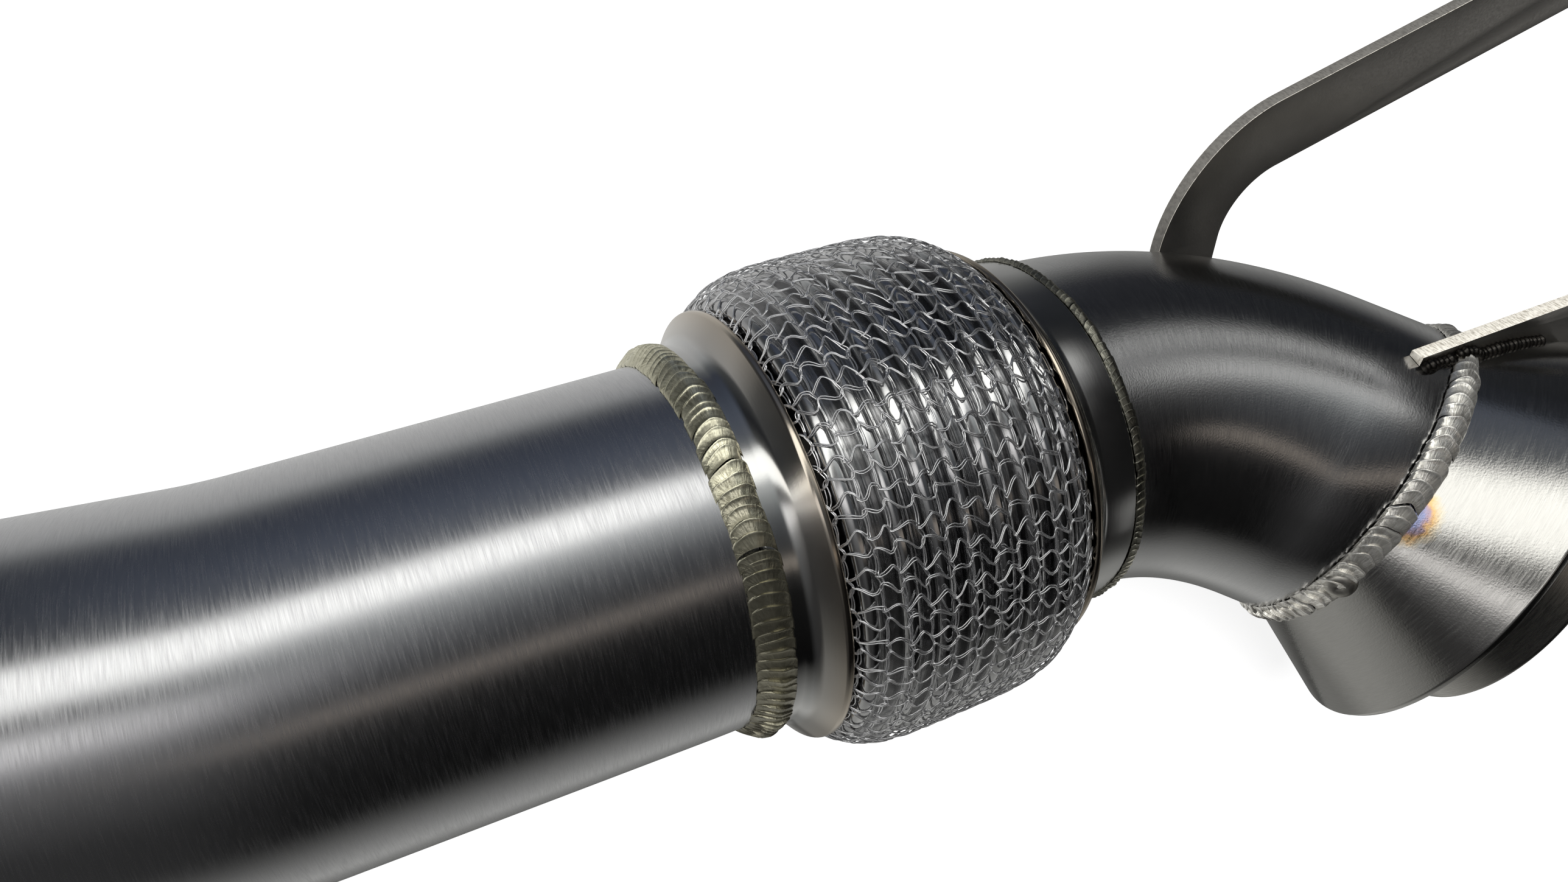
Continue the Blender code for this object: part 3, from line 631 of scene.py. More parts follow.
def cone_joint():
    """The cone weld's middle and the cone's axis."""
    angle = radians(ELBOW_TURN)
    bend = Vector((ELBOW_BEND * sin(angle), -ELBOW_BEND * (1 - cos(angle)), 0)) * MM
    middle = place(ELBOW_START, 0, 0) + bend
    middle = middle + elbow_way() * ELBOW_LEG * MM
    turn, drop = radians(52.0), radians(5.0)
    return middle, Vector((cos(turn) * cos(drop), -sin(turn) * cos(drop), -sin(drop)))


CONE_SPOT, CONE_AXIS = cone_joint()
CONE_SIDE = (UP - CONE_AXIS * CONE_AXIS.z).normalized()
CONE_FRAME = (CONE_SPOT, CONE_AXIS, CONE_SIDE)


def by_cone_weld(along, radius, turn):
    """A spot beside the cone's weld: along the cone, off its axis, and in degrees from the top."""
    angle = radians(turn)
    out = CONE_SIDE * cos(angle) + CONE_AXIS.cross(CONE_SIDE) * sin(angle)
    return CONE_SPOT + (CONE_AXIS * along + out * radius) * MM, out


CONE_STEEL = brushed("brushed_cone", (0.6, 0.59, 0.57), (0.54, 0.53, 0.51), 0.14, 0.0012,
                     sand=0.014, heat=by_cone_weld(0.6, 38.4, 46.0)[0])


def bent_elbow():
    tube = elbow_line()
    take_all()
    bpy.ops.mesh.bisect(plane_co=CONE_SPOT - CONE_AXIS * 0.4 * MM, plane_no=CONE_AXIS,
                        clear_outer=True)
    obj = tube.finish(TUBE_WALL)
    lay_out(obj, tube.frames)
    hand_over(obj, "bent_elbow", "satin_stainless", ELBOW_STEEL, "elbow")


# ---- flex


def collar_outline(wall, sleeve_extra):
    start, shoulder = 1.2 - sleeve_extra, 7.2
    outer = CAP_BORE + wall
    lip_in = LIP_RADIUS - 1.05
    return rounded([
        (start, CAP_BORE, 0, 0),
        (start, outer, 0.6, 4),
        (shoulder, outer, 4.0, 10),
        (shoulder + 4.0, LIP_RADIUS, 1.0, 5),
        (LIP_DEPTH, LIP_RADIUS, 0.5, 4),
        (LIP_DEPTH, lip_in, 0.2, 2),
        (LIP_DEPTH - 1.3, lip_in - 0.65, 0, 0),
        (shoulder + 0.6, CAP_BORE, 0, 0),
    ])


def end_for_end(outline):
    return [(FLEX_LENGTH - x, r) for x, r in reversed(outline)]


def collars():
    outlet, inlet = collar_outline(2.0, 0.0), end_for_end(collar_outline(1.4, 3.6))
    for name, node, outline in (("outlet_collar", "flex_outlet_cap", outlet),
                                ("inlet_collar", "flex_inlet_cap", inlet)):
        turned_piece(name, "pressed_stainless", CAP_STEEL, node, outline, FLEX_FRAME)


# the sleeve, a barrel between these two places along the flex
SLEEVE_START, SLEEVE_END = 13.2, 65.8
SLEEVE_LENGTH = 52.6
SLEEVE_LOW, SLEEVE_SWELL = 44.9, 6.5


def barrel_radius(x):
    """The sleeve's radius along the flex: a barrel, tucked in under each lip."""
    x = np.asarray(x, float)
    t = np.clip((x - SLEEVE_START) / SLEEVE_LENGTH, 0, 1)
    radius = SLEEVE_LOW + SLEEVE_SWELL * (1 - np.abs(2 * t - 1) ** 5)
    beyond = np.maximum(0, np.maximum(SLEEVE_START - x, x - SLEEVE_END))
    return radius - 0.9 * np.minimum(beyond, 1.5)


def half_round(middle, radius, edge, way, steps):
    """The points of a half round across the flex, from the side of the outlet."""
    turns = [pi * k / steps for k in range(steps + 1)]
    return [(middle - radius * cos(t), edge + way * radius * (1 - sin(t))) for t in turns]


def bellows():
    """Eight rolled waves with rounded crests and wide roots, and a cuff at each end."""
    waves, pitch, first = 8, 6.6, 16.4
    crest, root, depth, wall, bore = 2.05, 1.0, 4.8, 0.7, 39.2
    cuff_start, cuff_end = 9.6, 12.4
    tops = [float(barrel_radius(first + pitch * wave)) - 0.62 for wave in range(waves)]
    outer = [(cuff_start, bore + 0.5), (cuff_end, bore + 0.5)]
    inner = [(cuff_start, bore), (12.0, bore)]
    for wave, top in enumerate(tops):
        middle = first + pitch * wave
        outer += half_round(middle, crest, top, -1, 12)
        inner += [(middle - 1.0, top - 1.5), (middle, top - wall), (middle + 1.0, top - 1.5)]
        if wave < waves - 1:
            valley = middle + pitch / 2
            floor_line = (top + tops[wave + 1]) / 2 - depth
            outer += half_round(valley, root, floor_line, 1, 8)
            inner += [(valley - 0.9, floor_line - wall), (valley + 0.9, floor_line - wall)]
    outer += [(FLEX_LENGTH - cuff_end, bore + 0.5), (FLEX_LENGTH - cuff_start, bore + 0.5)]
    inner += [(FLEX_LENGTH - 12.0, bore), (FLEX_LENGTH - cuff_start, bore)]
    turned_piece("rolled_bellows", "bright_stainless", ROLLED_STEEL, "flex_bellows",
                 outer + inner[::-1], FLEX_FRAME)


def liner():
    """Strip-wound liner: three laps that step in and out."""
    start, end, outer, laps = 8.5, 75.7, 38.1, 3
    thick, thin = outer - 1.2, outer - 0.8
    points = [(end, outer), (start, outer)]
    lap = (end - start) / laps
    for k in range(laps):
        x = start + k * lap
        points += [(x, thick), (x + lap / 2, thick), (x + lap / 2, thin), (x + lap, thin)]
    turned_piece("wound_liner", "bright_stainless", ROLLED_STEEL, "flex_liner", points,
                 FLEX_FRAME, 96)


# one stitch of the knit, in millimetres: along the flex, round it, and out from the sleeve's middle
STITCH = (
    (0.00, 0.50, -0.12), (0.40, 0.65, 0.04), (1.20, 0.35, 0.16), (1.75, -0.10, 0.18),
    (2.30, -0.58, 0.18), (2.80, -0.95, 0.17), (3.25, -0.98, 0.16), (3.90, -0.60, 0.10),
    (4.45, 0.05, -0.02), (4.75, 0.90, -0.14), (5.05, 1.60, -0.18), (5.20, 2.40, -0.18),
    (4.90, 3.25, -0.14), (4.20, 3.88, -0.02), (3.30, 3.88, 0.12), (2.55, 3.50, 0.17),
    (1.90, 3.02, 0.18), (1.20, 2.50, 0.16), (0.70, 2.32, 0.06), (0.42, 2.65, -0.06),
    (0.28, 3.30, -0.15), (0.40, 4.30, -0.18), (0.42, 5.40, -0.18), (0.30, 6.60, -0.16),
)
WALES = 44
WALE_PITCH = 7.36
COURSES = (9.1, 13.1, 17.1, 20.9, 25.4, 30.1, 34.4, 38.9, 43.9, 48.4, 52.6, 56.9, 61.1)
COURSE_LENGTH = 4.4
WIRE_RADIUS = 0.145
# past these two places the wire is packed together under the lips
PACKED_BEFORE, PACKED_AFTER, PACKING = 12.3, 66.7, 0.12


def knitted_strand(side, seed):
    """One of the two wires that are knitted side by side, course by course round the flex."""
    drop_selection()
    stitch = np.array(STITCH)
    ahead = np.roll(stitch, -1, axis=0)
    behind = np.roll(stitch, 1, axis=0)
    ahead[-1] = stitch[0] + (0, WALE_PITCH, 0)
    behind[0] = stitch[-1] - (0, WALE_PITCH, 0)
    way = (ahead - behind)[:, :2]
    way = way / np.linalg.norm(way, axis=1)[:, None]
    across = np.stack([-way[:, 1], way[:, 0]], axis=1)
    bpy.ops.curve.primitive_bezier_curve_add()
    obj = bpy.context.object
    curve = obj.data
    curve.splines.clear()
    curve.dimensions = "3D"
    curve.bevel_depth = WIRE_RADIUS * MM
    curve.bevel_resolution = 1
    curve.use_fill_caps = False
    ends = list(COURSES[1:]) + [COURSES[-1] + 4.1]
    for course, (base, following) in enumerate(zip(COURSES, ends)):
        rng = np.random.default_rng(seed * 100 + course)
        stretch = (following - base) / COURSE_LENGTH
        along, around, height = [], [], []
        for wale in range(WALES):
            loose = rng.normal(0, 0.07, 2)
            size = 1 + rng.normal(0, 0.04)
            wave = np.sin(rng.uniform(0, 2 * pi) + np.arange(len(stitch)) * 0.45)
            part = 0.17 * (1 + 0.5 * wave)
            bend = across * (part * side)[:, None]
            along.append((stitch[:, 0] * size * stretch) + bend[:, 0] + loose[0])
            around.append(stitch[:, 1] + bend[:, 1] + loose[1] + wale * WALE_PITCH)
            height.append(stitch[:, 2] + side * 0.03)
        along = base + np.concatenate(along)
        angle = np.concatenate(around) / (WALES * WALE_PITCH) * 2 * pi
        height = np.concatenate(height)
        angle = angle + wander(angle, along, 7, 0.01)
        along = along + wander(angle, along, 8, 0.2, turns=(2, 9))
        along = np.where(along < PACKED_BEFORE,
                         PACKED_BEFORE + (along - PACKED_BEFORE) * PACKING, along)
        along = np.where(along > PACKED_AFTER,
                         PACKED_AFTER + (along - PACKED_AFTER) * PACKING, along)
        radius = barrel_radius(along) + height
        x = START.x + along * MM
        y = START.y - radius * np.sin(angle) * MM
        z = START.z + radius * np.cos(angle) * MM
        spline = curve.splines.new("POLY")
        spline.points.add(len(x) - 1)
        spline.points.foreach_set("co", np.stack([x, y, z, np.ones(len(x))], axis=1).ravel())
        spline.use_cyclic_u = True
    pick(obj)
    bpy.ops.object.convert(target="MESH")
    obj = bpy.context.object
    to_origin(obj)
    bpy.ops.object.shade_smooth()
    return obj


def knit():
    for name, side in (("knit_first_wire", 1), ("knit_second_wire", -1)):
        hand_over(knitted_strand(side, 11), name, "knitted_wire", WIRE, "flex_mesh")


# ---- turbo end

# along the cone's axis: the neck's end, the rim's start and its face; and the radii
CONE_BACK, CONE_SHOULDER, CONE_FACE = 0.4, 25.5, 27.1
CONE_NECK, CONE_RIM, CONE_WALL = 38.5, 50.6, 2.0
CONE_SLOPE = radians(28.8)
CONE_THROAT = CONE_SHOULDER - (CONE_RIM - CONE_NECK) / tan(CONE_SLOPE)
CONE_MOUTH = CONE_RIM - CONE_WALL / cos(CONE_SLOPE)


def cone():
    """Flared turbo end: neck, slope and a rim turned in round the ring's face."""
    shoulder, inner_neck = (CONE_SHOULDER, CONE_RIM), CONE_NECK - CONE_WALL
    rim_edge = (CONE_FACE, CONE_RIM - 0.8)
    back = (CONE_BACK, CONE_NECK)
    outside = [back] + fillet(back, (2.4, CONE_NECK), shoulder, 2.0, 8)
    rim = fillet((CONE_THROAT, CONE_NECK), shoulder, rim_edge, 0.7, 4)
    turned_in = fillet(shoulder, rim_edge, (CONE_FACE, CONE_MOUTH), 0.55, 4)
    corner = (CONE_THROAT + CONE_WALL * tan(CONE_SLOPE / 2), inner_neck)
    mouth = (CONE_SHOULDER, CONE_MOUTH)
    inside = fillet(mouth, corner, (CONE_BACK, inner_neck), 13.0, 14)
    outline = outside + rim + turned_in + [(CONE_FACE, CONE_MOUTH), mouth] + inside
    turned_piece("flared_cone", "satin_stainless", CONE_STEEL, "turbo_cone",
                 outline + [(CONE_BACK, inner_neck)], CONE_FRAME)


def spigot_ring():
    """Turned ring that fills the cone's mouth, with its spigot."""
    back, nose, bore, spigot, gap = 21.1, 42.8, 33.8, 36.3, 0.3
    mouth = CONE_MOUTH - gap
    seat = mouth - tan(CONE_SLOPE) * (CONE_SHOULDER - back) - gap
    outline = rounded([
        (back, bore, 1.5, 5), (back, seat, 0, 0), (CONE_SHOULDER, mouth, 0, 0),
        (CONE_FACE, mouth, 0.3, 2), (CONE_FACE, spigot, 0.4, 2), (nose, spigot, 1.2, 5),
        (nose, bore, 0.4, 2),
    ])
    turned_piece("spigot_ring", "machined_stainless", TURNED_STEEL, "turbo_flange", outline,
                 CONE_FRAME)


# ---- welds

# where the points of a crescent lie along it: 0 at its own step, 1 at the next one's
PHASES = (0.0, 0.04, 0.1, 0.18, 0.3, 0.46, 0.64, 0.82, 1.0, 1.15)
ROWS = 15


def ripple_strip(count, pitch, half, rise, drop, curve):
    """A flat strip of overlapping crescents, along X, with its height in Z.

    Each crescent steps up at its convex edge and falls slowly to the next one's.
    """
    drop_selection()
    bpy.ops.mesh.primitive_grid_add(x_subdivisions=len(PHASES) - 1, y_subdivisions=ROWS - 1,
                                    size=1, location=(0, 0, 0))
    obj = bpy.context.object
    flat = points_of(obj)
    column = np.rint((flat[:, 0] + 0.5) * (len(PHASES) - 1)).astype(int)
    row = np.rint((flat[:, 1] + 0.5) * (ROWS - 1)) / (ROWS - 1)
    across = np.sin((row - 0.5) * pi)
    phase = np.array(PHASES)[column]
    bow = np.sqrt(np.maximum(0, 1 - across ** 2))
    dome = bow ** 1.1
    edge = np.exp(-((phase - 0.1) / 0.09) ** 2) * 0.35
    fall = np.where(phase <= 0, -0.5, np.maximum(1 - phase, 0) ** 1.3 + edge)
    x = (phase + curve * (1 - bow)) * pitch
    height = rise * dome + drop * fall * (0.25 + 0.75 * dome)
    height = np.where(phase <= 0, rise * dome * 0.9 - drop * 0.4, height)
    move_points(obj, np.stack([x * MM, across * half * MM, height * MM], axis=1))
    puddle = np.stack([across / (1 - 0.35 * phase), phase, 0 * phase], axis=1)
    store_vectors(obj, "puddle", puddle)
    apply_modifier(obj, "ARRAY", count=count, use_relative_offset=False,
                   use_constant_offset=True, constant_offset_displace=(pitch * MM, 0, 0),
                   use_merge_vertices=False)
    return obj


def ring_weld(name, node, finish, frame_at, seats, count, half, rise, drop, turn, seed, curve=0.9):
    """Wraps a strip of crescents round a joint.

    frame_at gives the joint's middle, its axis, the way of the pipe on the bead's low side and
    the side that the bead starts from. seats are the radii that the bead stands on, on its low
    and high side. turn is 1 or -1, the way round.
    """
    middle, axis, low_way, side = frame_at
    low, high = seats
    length = 2 * pi * max(seats)
    pitch = length / count
    obj = ripple_strip(count, pitch, half, rise, drop, curve)
    flat = points_of(obj) / MM
    rng = np.random.default_rng(seed)
    number = np.arange(len(flat)) // (len(PHASES) * ROWS)
    uneven = rng.normal(0, 1, (4, count))
    store = obj.data.attributes["puddle"]
    puddle = np.empty(len(flat) * 3, np.float32)
    store.data.foreach_get("vector", puddle)
    puddle = puddle.reshape(-1, 3)
    puddle[:, 2] = number * 3.7
    store.data.foreach_set("vector", puddle.ravel())
    along = flat[:, 0] + uneven[0][number] * 0.09 * pitch
    angle = along / length * 2 * pi
    angle = turn * angle + wander(angle, flat[:, 1], seed, 0.005, turns=(7, 23))
    across = flat[:, 1] * (1 + uneven[1][number] * 0.035)
    across = across + wander(angle, 0 * angle, seed + 2, 0.1, turns=(2, 9))
    across = across + uneven[2][number] * 0.06
    swell = wander(angle, 0 * angle, seed + 3, 0.06, turns=(9, 40))
    lift = flat[:, 2] * (1 + swell + uneven[3][number] * 0.08)
    climb = np.clip((flat[:, 1] / half + 1) / 1.1, 0, 1)
    radius = low + (high - low) * climb + lift - 0.05
    up = axis.cross(side)
    around = np.outer(np.cos(angle) * radius, side) + np.outer(np.sin(angle) * radius, up)
    way = np.where((across > 0)[:, None], np.array(axis)[None, :], np.array(low_way)[None, :])
    points = np.array(middle)[None, :] + (around + way * across[:, None]) * MM
    move_points(obj, points)
    edit_all(obj)
    face_outwards()
    outward = np.array([p.normal for p in obj.data.polygons])
    centres = np.array([p.center for p in obj.data.polygons]) - np.array(middle)
    if (outward * centres).sum() < 0:
        obj.data.flip_normals()
    smooth(obj, 60)
    hand_over(obj, name, "weld_bead", finish, node)


def stop_puddle():
    """The round puddle with its crater where the cone's weld stops."""
    spot, out = by_cone_weld(0.6, 39.2, 77.0)
    dome = [(-0.8, 0.0), (-0.8, 3.0), (0.0, 3.35), (0.5, 3.2), (0.95, 2.7), (1.2, 2.0),
            (1.25, 1.3), (1.12, 0.7), (0.95, 0.35), (0.9, 0.0)]
    obj = lathe(dome, spot, out, 40)
    hand_over(obj, "cone_bead_stop", "weld_bead", STOP_BEAD, "cone_weld")


def welds():
    ring_weld("outlet_bead", "outlet_weld", STRAW_BEAD, (START, FLEX_AXIS, FLEX_AXIS, UP),
              (38.15, 40.55), 115, 3.45, 0.75, 0.34, 1, 3)
    seam = place(ELBOW_START, 0, 0)
    ring_weld("seam_bead", "inlet_seam_weld", BROWN_BEAD, (seam, -FLEX_AXIS, -FLEX_AXIS, UP),
              (38.15, 39.85), 150, 1.8, 0.45, 0.2, -1, 5, curve=0.5)
    ring_weld("cone_bead", "cone_weld", SILVER_BEAD,
              (CONE_SPOT, CONE_AXIS, elbow_way(), CONE_SIDE),
              (38.55, 38.6), 92, 3.1, 1.2, 0.48, 1, 9)
    stop_puddle()


# ---- straps

LEAN = radians(18.0)
STRAP_RIGHT = Vector((1, 0, 0))
STRAP_UP = Vector((0, sin(LEAN), cos(LEAN)))
STRAP_THROUGH = STRAP_UP.cross(STRAP_RIGHT)
STRAP_WIDTH = 18.4
STRAP_HALF = STRAP_WIDTH / 2
STRAP_THICKNESS = 3.0
HOLE_RADIUS = 4.25
REAR_SPOT = (139.2, 19.7, 4.8)
REAR_FOOT, REAR_RISE, REAR_BEND, REAR_LENGTH = -9.0, 14.3, 25.3, 146.0
FRONT_SPOT = (150.4, -29.9, 40.2)
FRONT_LENGTH = 106.0


def strap_spot(origin, x, y, deep=0.0):
    return place(*origin) + (STRAP_RIGHT * x + STRAP_UP * y + STRAP_THROUGH * deep) * MM


def strap_edge(first, second):
    """The foot's edge of a bar, drawn between two points and selected."""
    obj = first_point(first)
    draw([first, second])
    bpy.ops.mesh.select_mode(type="EDGE")
    take_all()
    return obj


def shrink_selected(factor):
    """Draws the selected edge's ends towards their middle."""
    obj = bpy.context.object
    set_mode("OBJECT")
    chosen = [v for v in obj.data.vertices if v.select]
    middle = sum((v.co for v in chosen), Vector()) / len(chosen)
    for vert in chosen:
        vert.co = middle + (vert.co - middle) * factor
    set_mode("EDIT")


def round_end(push):
    """Draws the bar's end edge out into a half round, step by step towards its nose."""
    steps, nose_width = 12, 0.02
    reach, width = 0.0, 1.0
    for k in range(1, steps + 1):
        angle = pi / 2 * k / steps
        ahead, narrow = sin(angle), max(cos(angle), nose_width)
        extrude(push * (ahead - reach) * STRAP_HALF * MM)
        shrink_selected(narrow / width)
        reach, width = ahead, narrow


def finish_strap(obj, hole, tools):
    """Gives the flat shape its thickness, drills it, breaks its edges and copes its foot."""
    merge_doubles()
    take_all()
    extrude(STRAP_THROUGH * STRAP_THICKNESS * MM)
    tidy_faces()
    to_origin(obj)
    drop_selection()
    turn = STRAP_THROUGH.to_track_quat("Z", "Y").to_euler()
    bpy.ops.mesh.primitive_cylinder_add(vertices=48, radius=HOLE_RADIUS * MM, depth=20 * MM,
                                        location=hole, rotation=turn)
    drill = bpy.context.object
    to_origin(drill)
    cut_away(obj, drill)
    bpy.data.objects.remove(drill)
    break_edges(obj, 0.5, 3)
    for tool in tools:
        cut_away(obj, tool)
    smooth(obj)


def cope_tools():
    """Solids of the elbow and of the cone, a hair larger, that shape the straps' feet."""
    tube = elbow_line(TUBE_RADIUS + 0.1, 0.0)
    take_all()
    bpy.ops.mesh.region_to_loop()
    bpy.ops.mesh.edge_face_add()
    elbow = tube.finish(0)
    edit_all(elbow)
    bpy.ops.mesh.fill_holes(sides=0)
    tidy_faces()
    back, shoulder = (CONE_BACK, CONE_NECK), (CONE_SHOULDER, CONE_RIM)
    neck = fillet(back, (CONE_THROAT, CONE_NECK), shoulder, 3.5, 8)
    bead_half, bead_top, core, face, rim = 3.3, 39.6, 5.0, 27.4, 50.9
    line = [(-bead_half, bead_top), (bead_half, bead_top)]
    line += [(x, r + 0.2) for x, r in neck if x > bead_half + 0.1]
    line += [(face, rim), (face, core), (-bead_half, core)]
    return [elbow, lathe(line, CONE_SPOT, CONE_AXIS, 96)]


def rear_bar(tools):
    """Foot, edgewise bend and straight, drawn by the edge that runs across the bar."""
    start, end = radians(94.6), radians(15.7)
    rise = Vector((cos(start), sin(start)))
    foot = rise * REAR_FOOT
    top = rise * REAR_RISE
    pivot = top + Vector((sin(start), -cos(start))) * REAR_BEND
    way = Vector((cos(end), sin(end)))
    bend_end = pivot + Vector((-sin(end), cos(end))) * REAR_BEND
    tip = bend_end + way * REAR_LENGTH
    across = Vector((-rise.y, rise.x)) * STRAP_HALF
    obj = strap_edge(*(strap_spot(REAR_SPOT, p.x, p.y) for p in (foot + across, foot - across)))
    lift = STRAP_RIGHT * (top - foot).x + STRAP_UP * (top - foot).y
    extrude(lift * MM)
    bpy.ops.mesh.spin(steps=28, angle=end - start, center=strap_spot(REAR_SPOT, pivot.x, pivot.y),
                      axis=STRAP_THROUGH)
    push = STRAP_RIGHT * way.x + STRAP_UP * way.y
    extrude(push * REAR_LENGTH * MM)
    round_end(push)
    finish_strap(obj, strap_spot(REAR_SPOT, tip.x, tip.y), tools)
    return obj


def front_bar(tools):
    obj = strap_edge(strap_spot(FRONT_SPOT, 0, 0), strap_spot(FRONT_SPOT, 0, -STRAP_WIDTH))
    extrude(STRAP_RIGHT * (FRONT_LENGTH - STRAP_HALF) * MM)
    round_end(STRAP_RIGHT)
    hole = strap_spot(FRONT_SPOT, FRONT_LENGTH - STRAP_HALF, -STRAP_HALF)
    finish_strap(obj, hole, tools)
    return obj


def finish_cut_edges(obj, sides):
    """Gives the bar's narrow sides their finish, and its broken corners the grain of a cut edge."""
    obj.data.materials.append(sides)
    obj.data.materials.append(CUT_EDGE)
    for face in obj.data.polygons:
        through = abs(face.normal.dot(STRAP_THROUGH))
        if through < 0.25:
            face.material_index = 1
        elif through < 0.94:
            face.material_index = 2


def straps():
    tools = cope_tools()
    rear = rear_bar(tools)
    hand_over(rear, "rear_bar", "flat_bar", BAR, "rear_strap")
    # the rear bar's sides: cut steel darkened as painted shade
    finish_cut_edges(rear, SHADED_CUT_EDGE)
    front = front_bar(tools)
    hand_over(front, "front_bar", "flat_bar", BAR, "front_strap")
    finish_cut_edges(front, CUT_EDGE)
    for tool in tools:
        bpy.data.objects.remove(tool)


def surface_under(spot, pieces):
    """The highest point of the pieces below a spot, and its normal."""
    hits = []
    for piece in pieces:
        found, point, normal, _ = piece.ray_cast(spot, -STRAP_UP)
        if found:
            hits.append(((spot - point).length, point, normal))
    return min(hits, key=lambda hit: hit[0])[1:] if hits else None


def fillet_bead(name, node, origin, outward, reach, radius, pitch, flat, seed):
    """A strap's weld: flattened puddles laid one over the other in the corner, and fused."""
    pieces = [bpy.data.objects[n] for n in ("bent_elbow", "flared_cone", "cone_bead")]
    rng = np.random.default_rng(seed)
    low, high = reach
    count = int((high - low) / pitch)
    spots = []
    for k in range(count + 1):
        away = 0.55 * radius + rng.normal(0, 0.05)
        over = strap_spot(origin, low + (high - low) * k / count, 20.0) + outward * away * MM
        found = surface_under(over, pieces)
        if found:
            spots.append(found[0] + found[1] * 0.18 * radius * MM)
    drop_selection()
    bpy.ops.mesh.primitive_uv_sphere_add(segments=16, ring_count=10, radius=radius * MM,
                                         location=(0, 0, 0))
    first = bpy.context.object
    edit_all(first)
    bpy.ops.transform.resize(value=(flat, 1, 1), center_override=(0, 0, 0))
    set_mode("OBJECT")
    puddles = []
    for k, spot in enumerate(spots):
        ahead = (spots[min(k + 1, len(spots) - 1)] - spots[max(k - 1, 0)]).normalized()
        puddle = first.copy()
        puddle.data = first.data.copy()
        bpy.context.scene.collection.objects.link(puddle)
        lean = ahead + STRAP_UP * 0.35 + outward * 0.2
        turn = lean.to_track_quat("X", "Z").to_matrix().to_4x4()
        size = 1 + rng.normal(0, 0.06)
        puddle.matrix_world = Matrix.Translation(spot) @ turn @ Matrix.Scale(size, 4)
        puddles.append(puddle)
    bpy.data.objects.remove(first)
    drop_selection()
    for puddle in puddles:
        puddle.select_set(True)
    bpy.context.view_layer.objects.active = puddles[0]
    bpy.ops.object.join()
    obj = bpy.context.object
    to_origin(obj)
    apply_modifier(obj, "REMESH", mode="VOXEL", voxel_size=0.2 * MM)
    bpy.ops.object.shade_smooth()
    hand_over(obj, name, "weld_bead", DARK_BEAD, node)


def strap_beads():
    """The beads along the near face and, a bar's thickness deeper, along the far face."""
    rear_far, front_far = (tuple(Vector(spot) + STRAP_THROUGH * STRAP_THICKNESS)
                           for spot in (REAR_SPOT, FRONT_SPOT))
    near, far = -STRAP_THROUGH, STRAP_THROUGH
    fillet_bead("rear_upper_bead", "rear_strap_weld_upper", REAR_SPOT, near, (-8.0, 8.0),
                0.8, 0.7, 0.9, 21)
    fillet_bead("rear_lower_bead", "rear_strap_weld_lower", rear_far, far, (-8.0, 8.0),
                1.1, 1.1, 0.6, 22)
    fillet_bead("front_near_bead", "front_strap_weld_near", FRONT_SPOT, near, (1.0, 41.5),
                1.5, 1.45, 0.62, 23)
    fillet_bead("front_far_bead", "front_strap_weld_far", front_far, far, (5.0, 44.0),
                0.9, 0.9, 0.8, 24)


# ---- stage

# tints of the light in the skies
WHITE = (1, 1, 1)
FLOOR = (1, 1, 0.95)
CREAM = (1, 1, 0.96)
LAMP = (1, 1, 0.97)
WALL = (1, 1, 0.98)
MINT = (0.98, 1, 0.99)
AMBER = (1.1, 0.97, 0.84)
BLUE = (0.85, 0.95, 1.1)
SLATE = (0.9, 0.95, 1.1)
ICE = (0.92, 0.97, 1)
ROSE = (1, 0.99, 0.96)

# what the steel mirrors, one sky for each stretch of the pipe: degrees round the pipe, 0 overhead,
# minus to the far side and plus to the near side, with the light's strength and tint
MIDDLE_SKY = (
    (-180, 0.06, CREAM), (-166, 0.36, LAMP), (-145, 0.64, WALL), (-112, 0.58, WALL),
    (-97, 0.52, WALL), (-86, 0.42, MINT), (-77, 0.15, ICE), (-69, 0.065, (0.8, 0.9, 1.2)),
    (-56, 0.075, (0.78, 0.92, 1.25)), (-38, 0.115, (0.8, 0.93, 1.22)),
    (-26, 0.13, (0.85, 0.95, 1.15)), (-17, 0.16, (0.93, 0.98, 1.04)), (-12, 1.9, CREAM),
    (0, 1.9, CREAM), (5, 0.62, (0.97, 1, 0.99)), (15, 0.3, (0.95, 1, 1)),
    (24, 0.11, (0.93, 0.98, 1.04)), (35, 0.06, (0.93, 0.98, 1.05)), (45, 0.05, WHITE),
    (48, 0.33, AMBER), (52, 0.26, AMBER), (55, 0.03, WHITE), (66, 0.01, WHITE),
    (112, 0.004, WHITE), (122, 0.1, FLOOR), (137, 0.27, CREAM), (158, 0.5, CREAM),
    (170, 0.22, CREAM),
)
OUTLET_SKY = (
    (-180, 0.36, CREAM), (-140, 0.5, WALL), (-95, 0.4, WALL), (-78, 0.08, ICE), (-40, 0.02, BLUE),
    (-18, 0.05, WHITE), (-14, 1.8, CREAM), (4, 1.8, CREAM), (8, 0.14, WHITE), (17, 0.1, WHITE),
    (21, 1.25, (1, 0.99, 0.97)), (29, 1.05, (1, 0.98, 0.97)), (36, 0.3, WHITE),
    (46, 0.15, WHITE), (62, 0.09, WHITE), (84, 0.04, WHITE), (118, 0.04, WHITE),
    (130, 0.1, FLOOR), (140, 0.2, CREAM), (162, 0.36, CREAM),
)
TURBO_SKY = (
    (-180, 0.12, CREAM), (-145, 0.4, LAMP), (-117, 0.42, WALL), (-95, 0.26, WALL),
    (-82, 0.16, MINT), (-72, 0.06, SLATE), (-50, 0.03, (0.8, 0.9, 1.15)), (-20, 0.03, BLUE),
    (0, 0.05, WHITE), (6, 0.55, LAMP), (14, 0.72, LAMP), (20, 0.26, WALL), (28, 0.07, WALL),
    (40, 0.02, WHITE), (60, 0.004, WHITE), (112, 0.003, WHITE), (122, 0.04, FLOOR),
    (135, 0.22, CREAM), (155, 0.38, CREAM), (170, 0.18, CREAM),
)
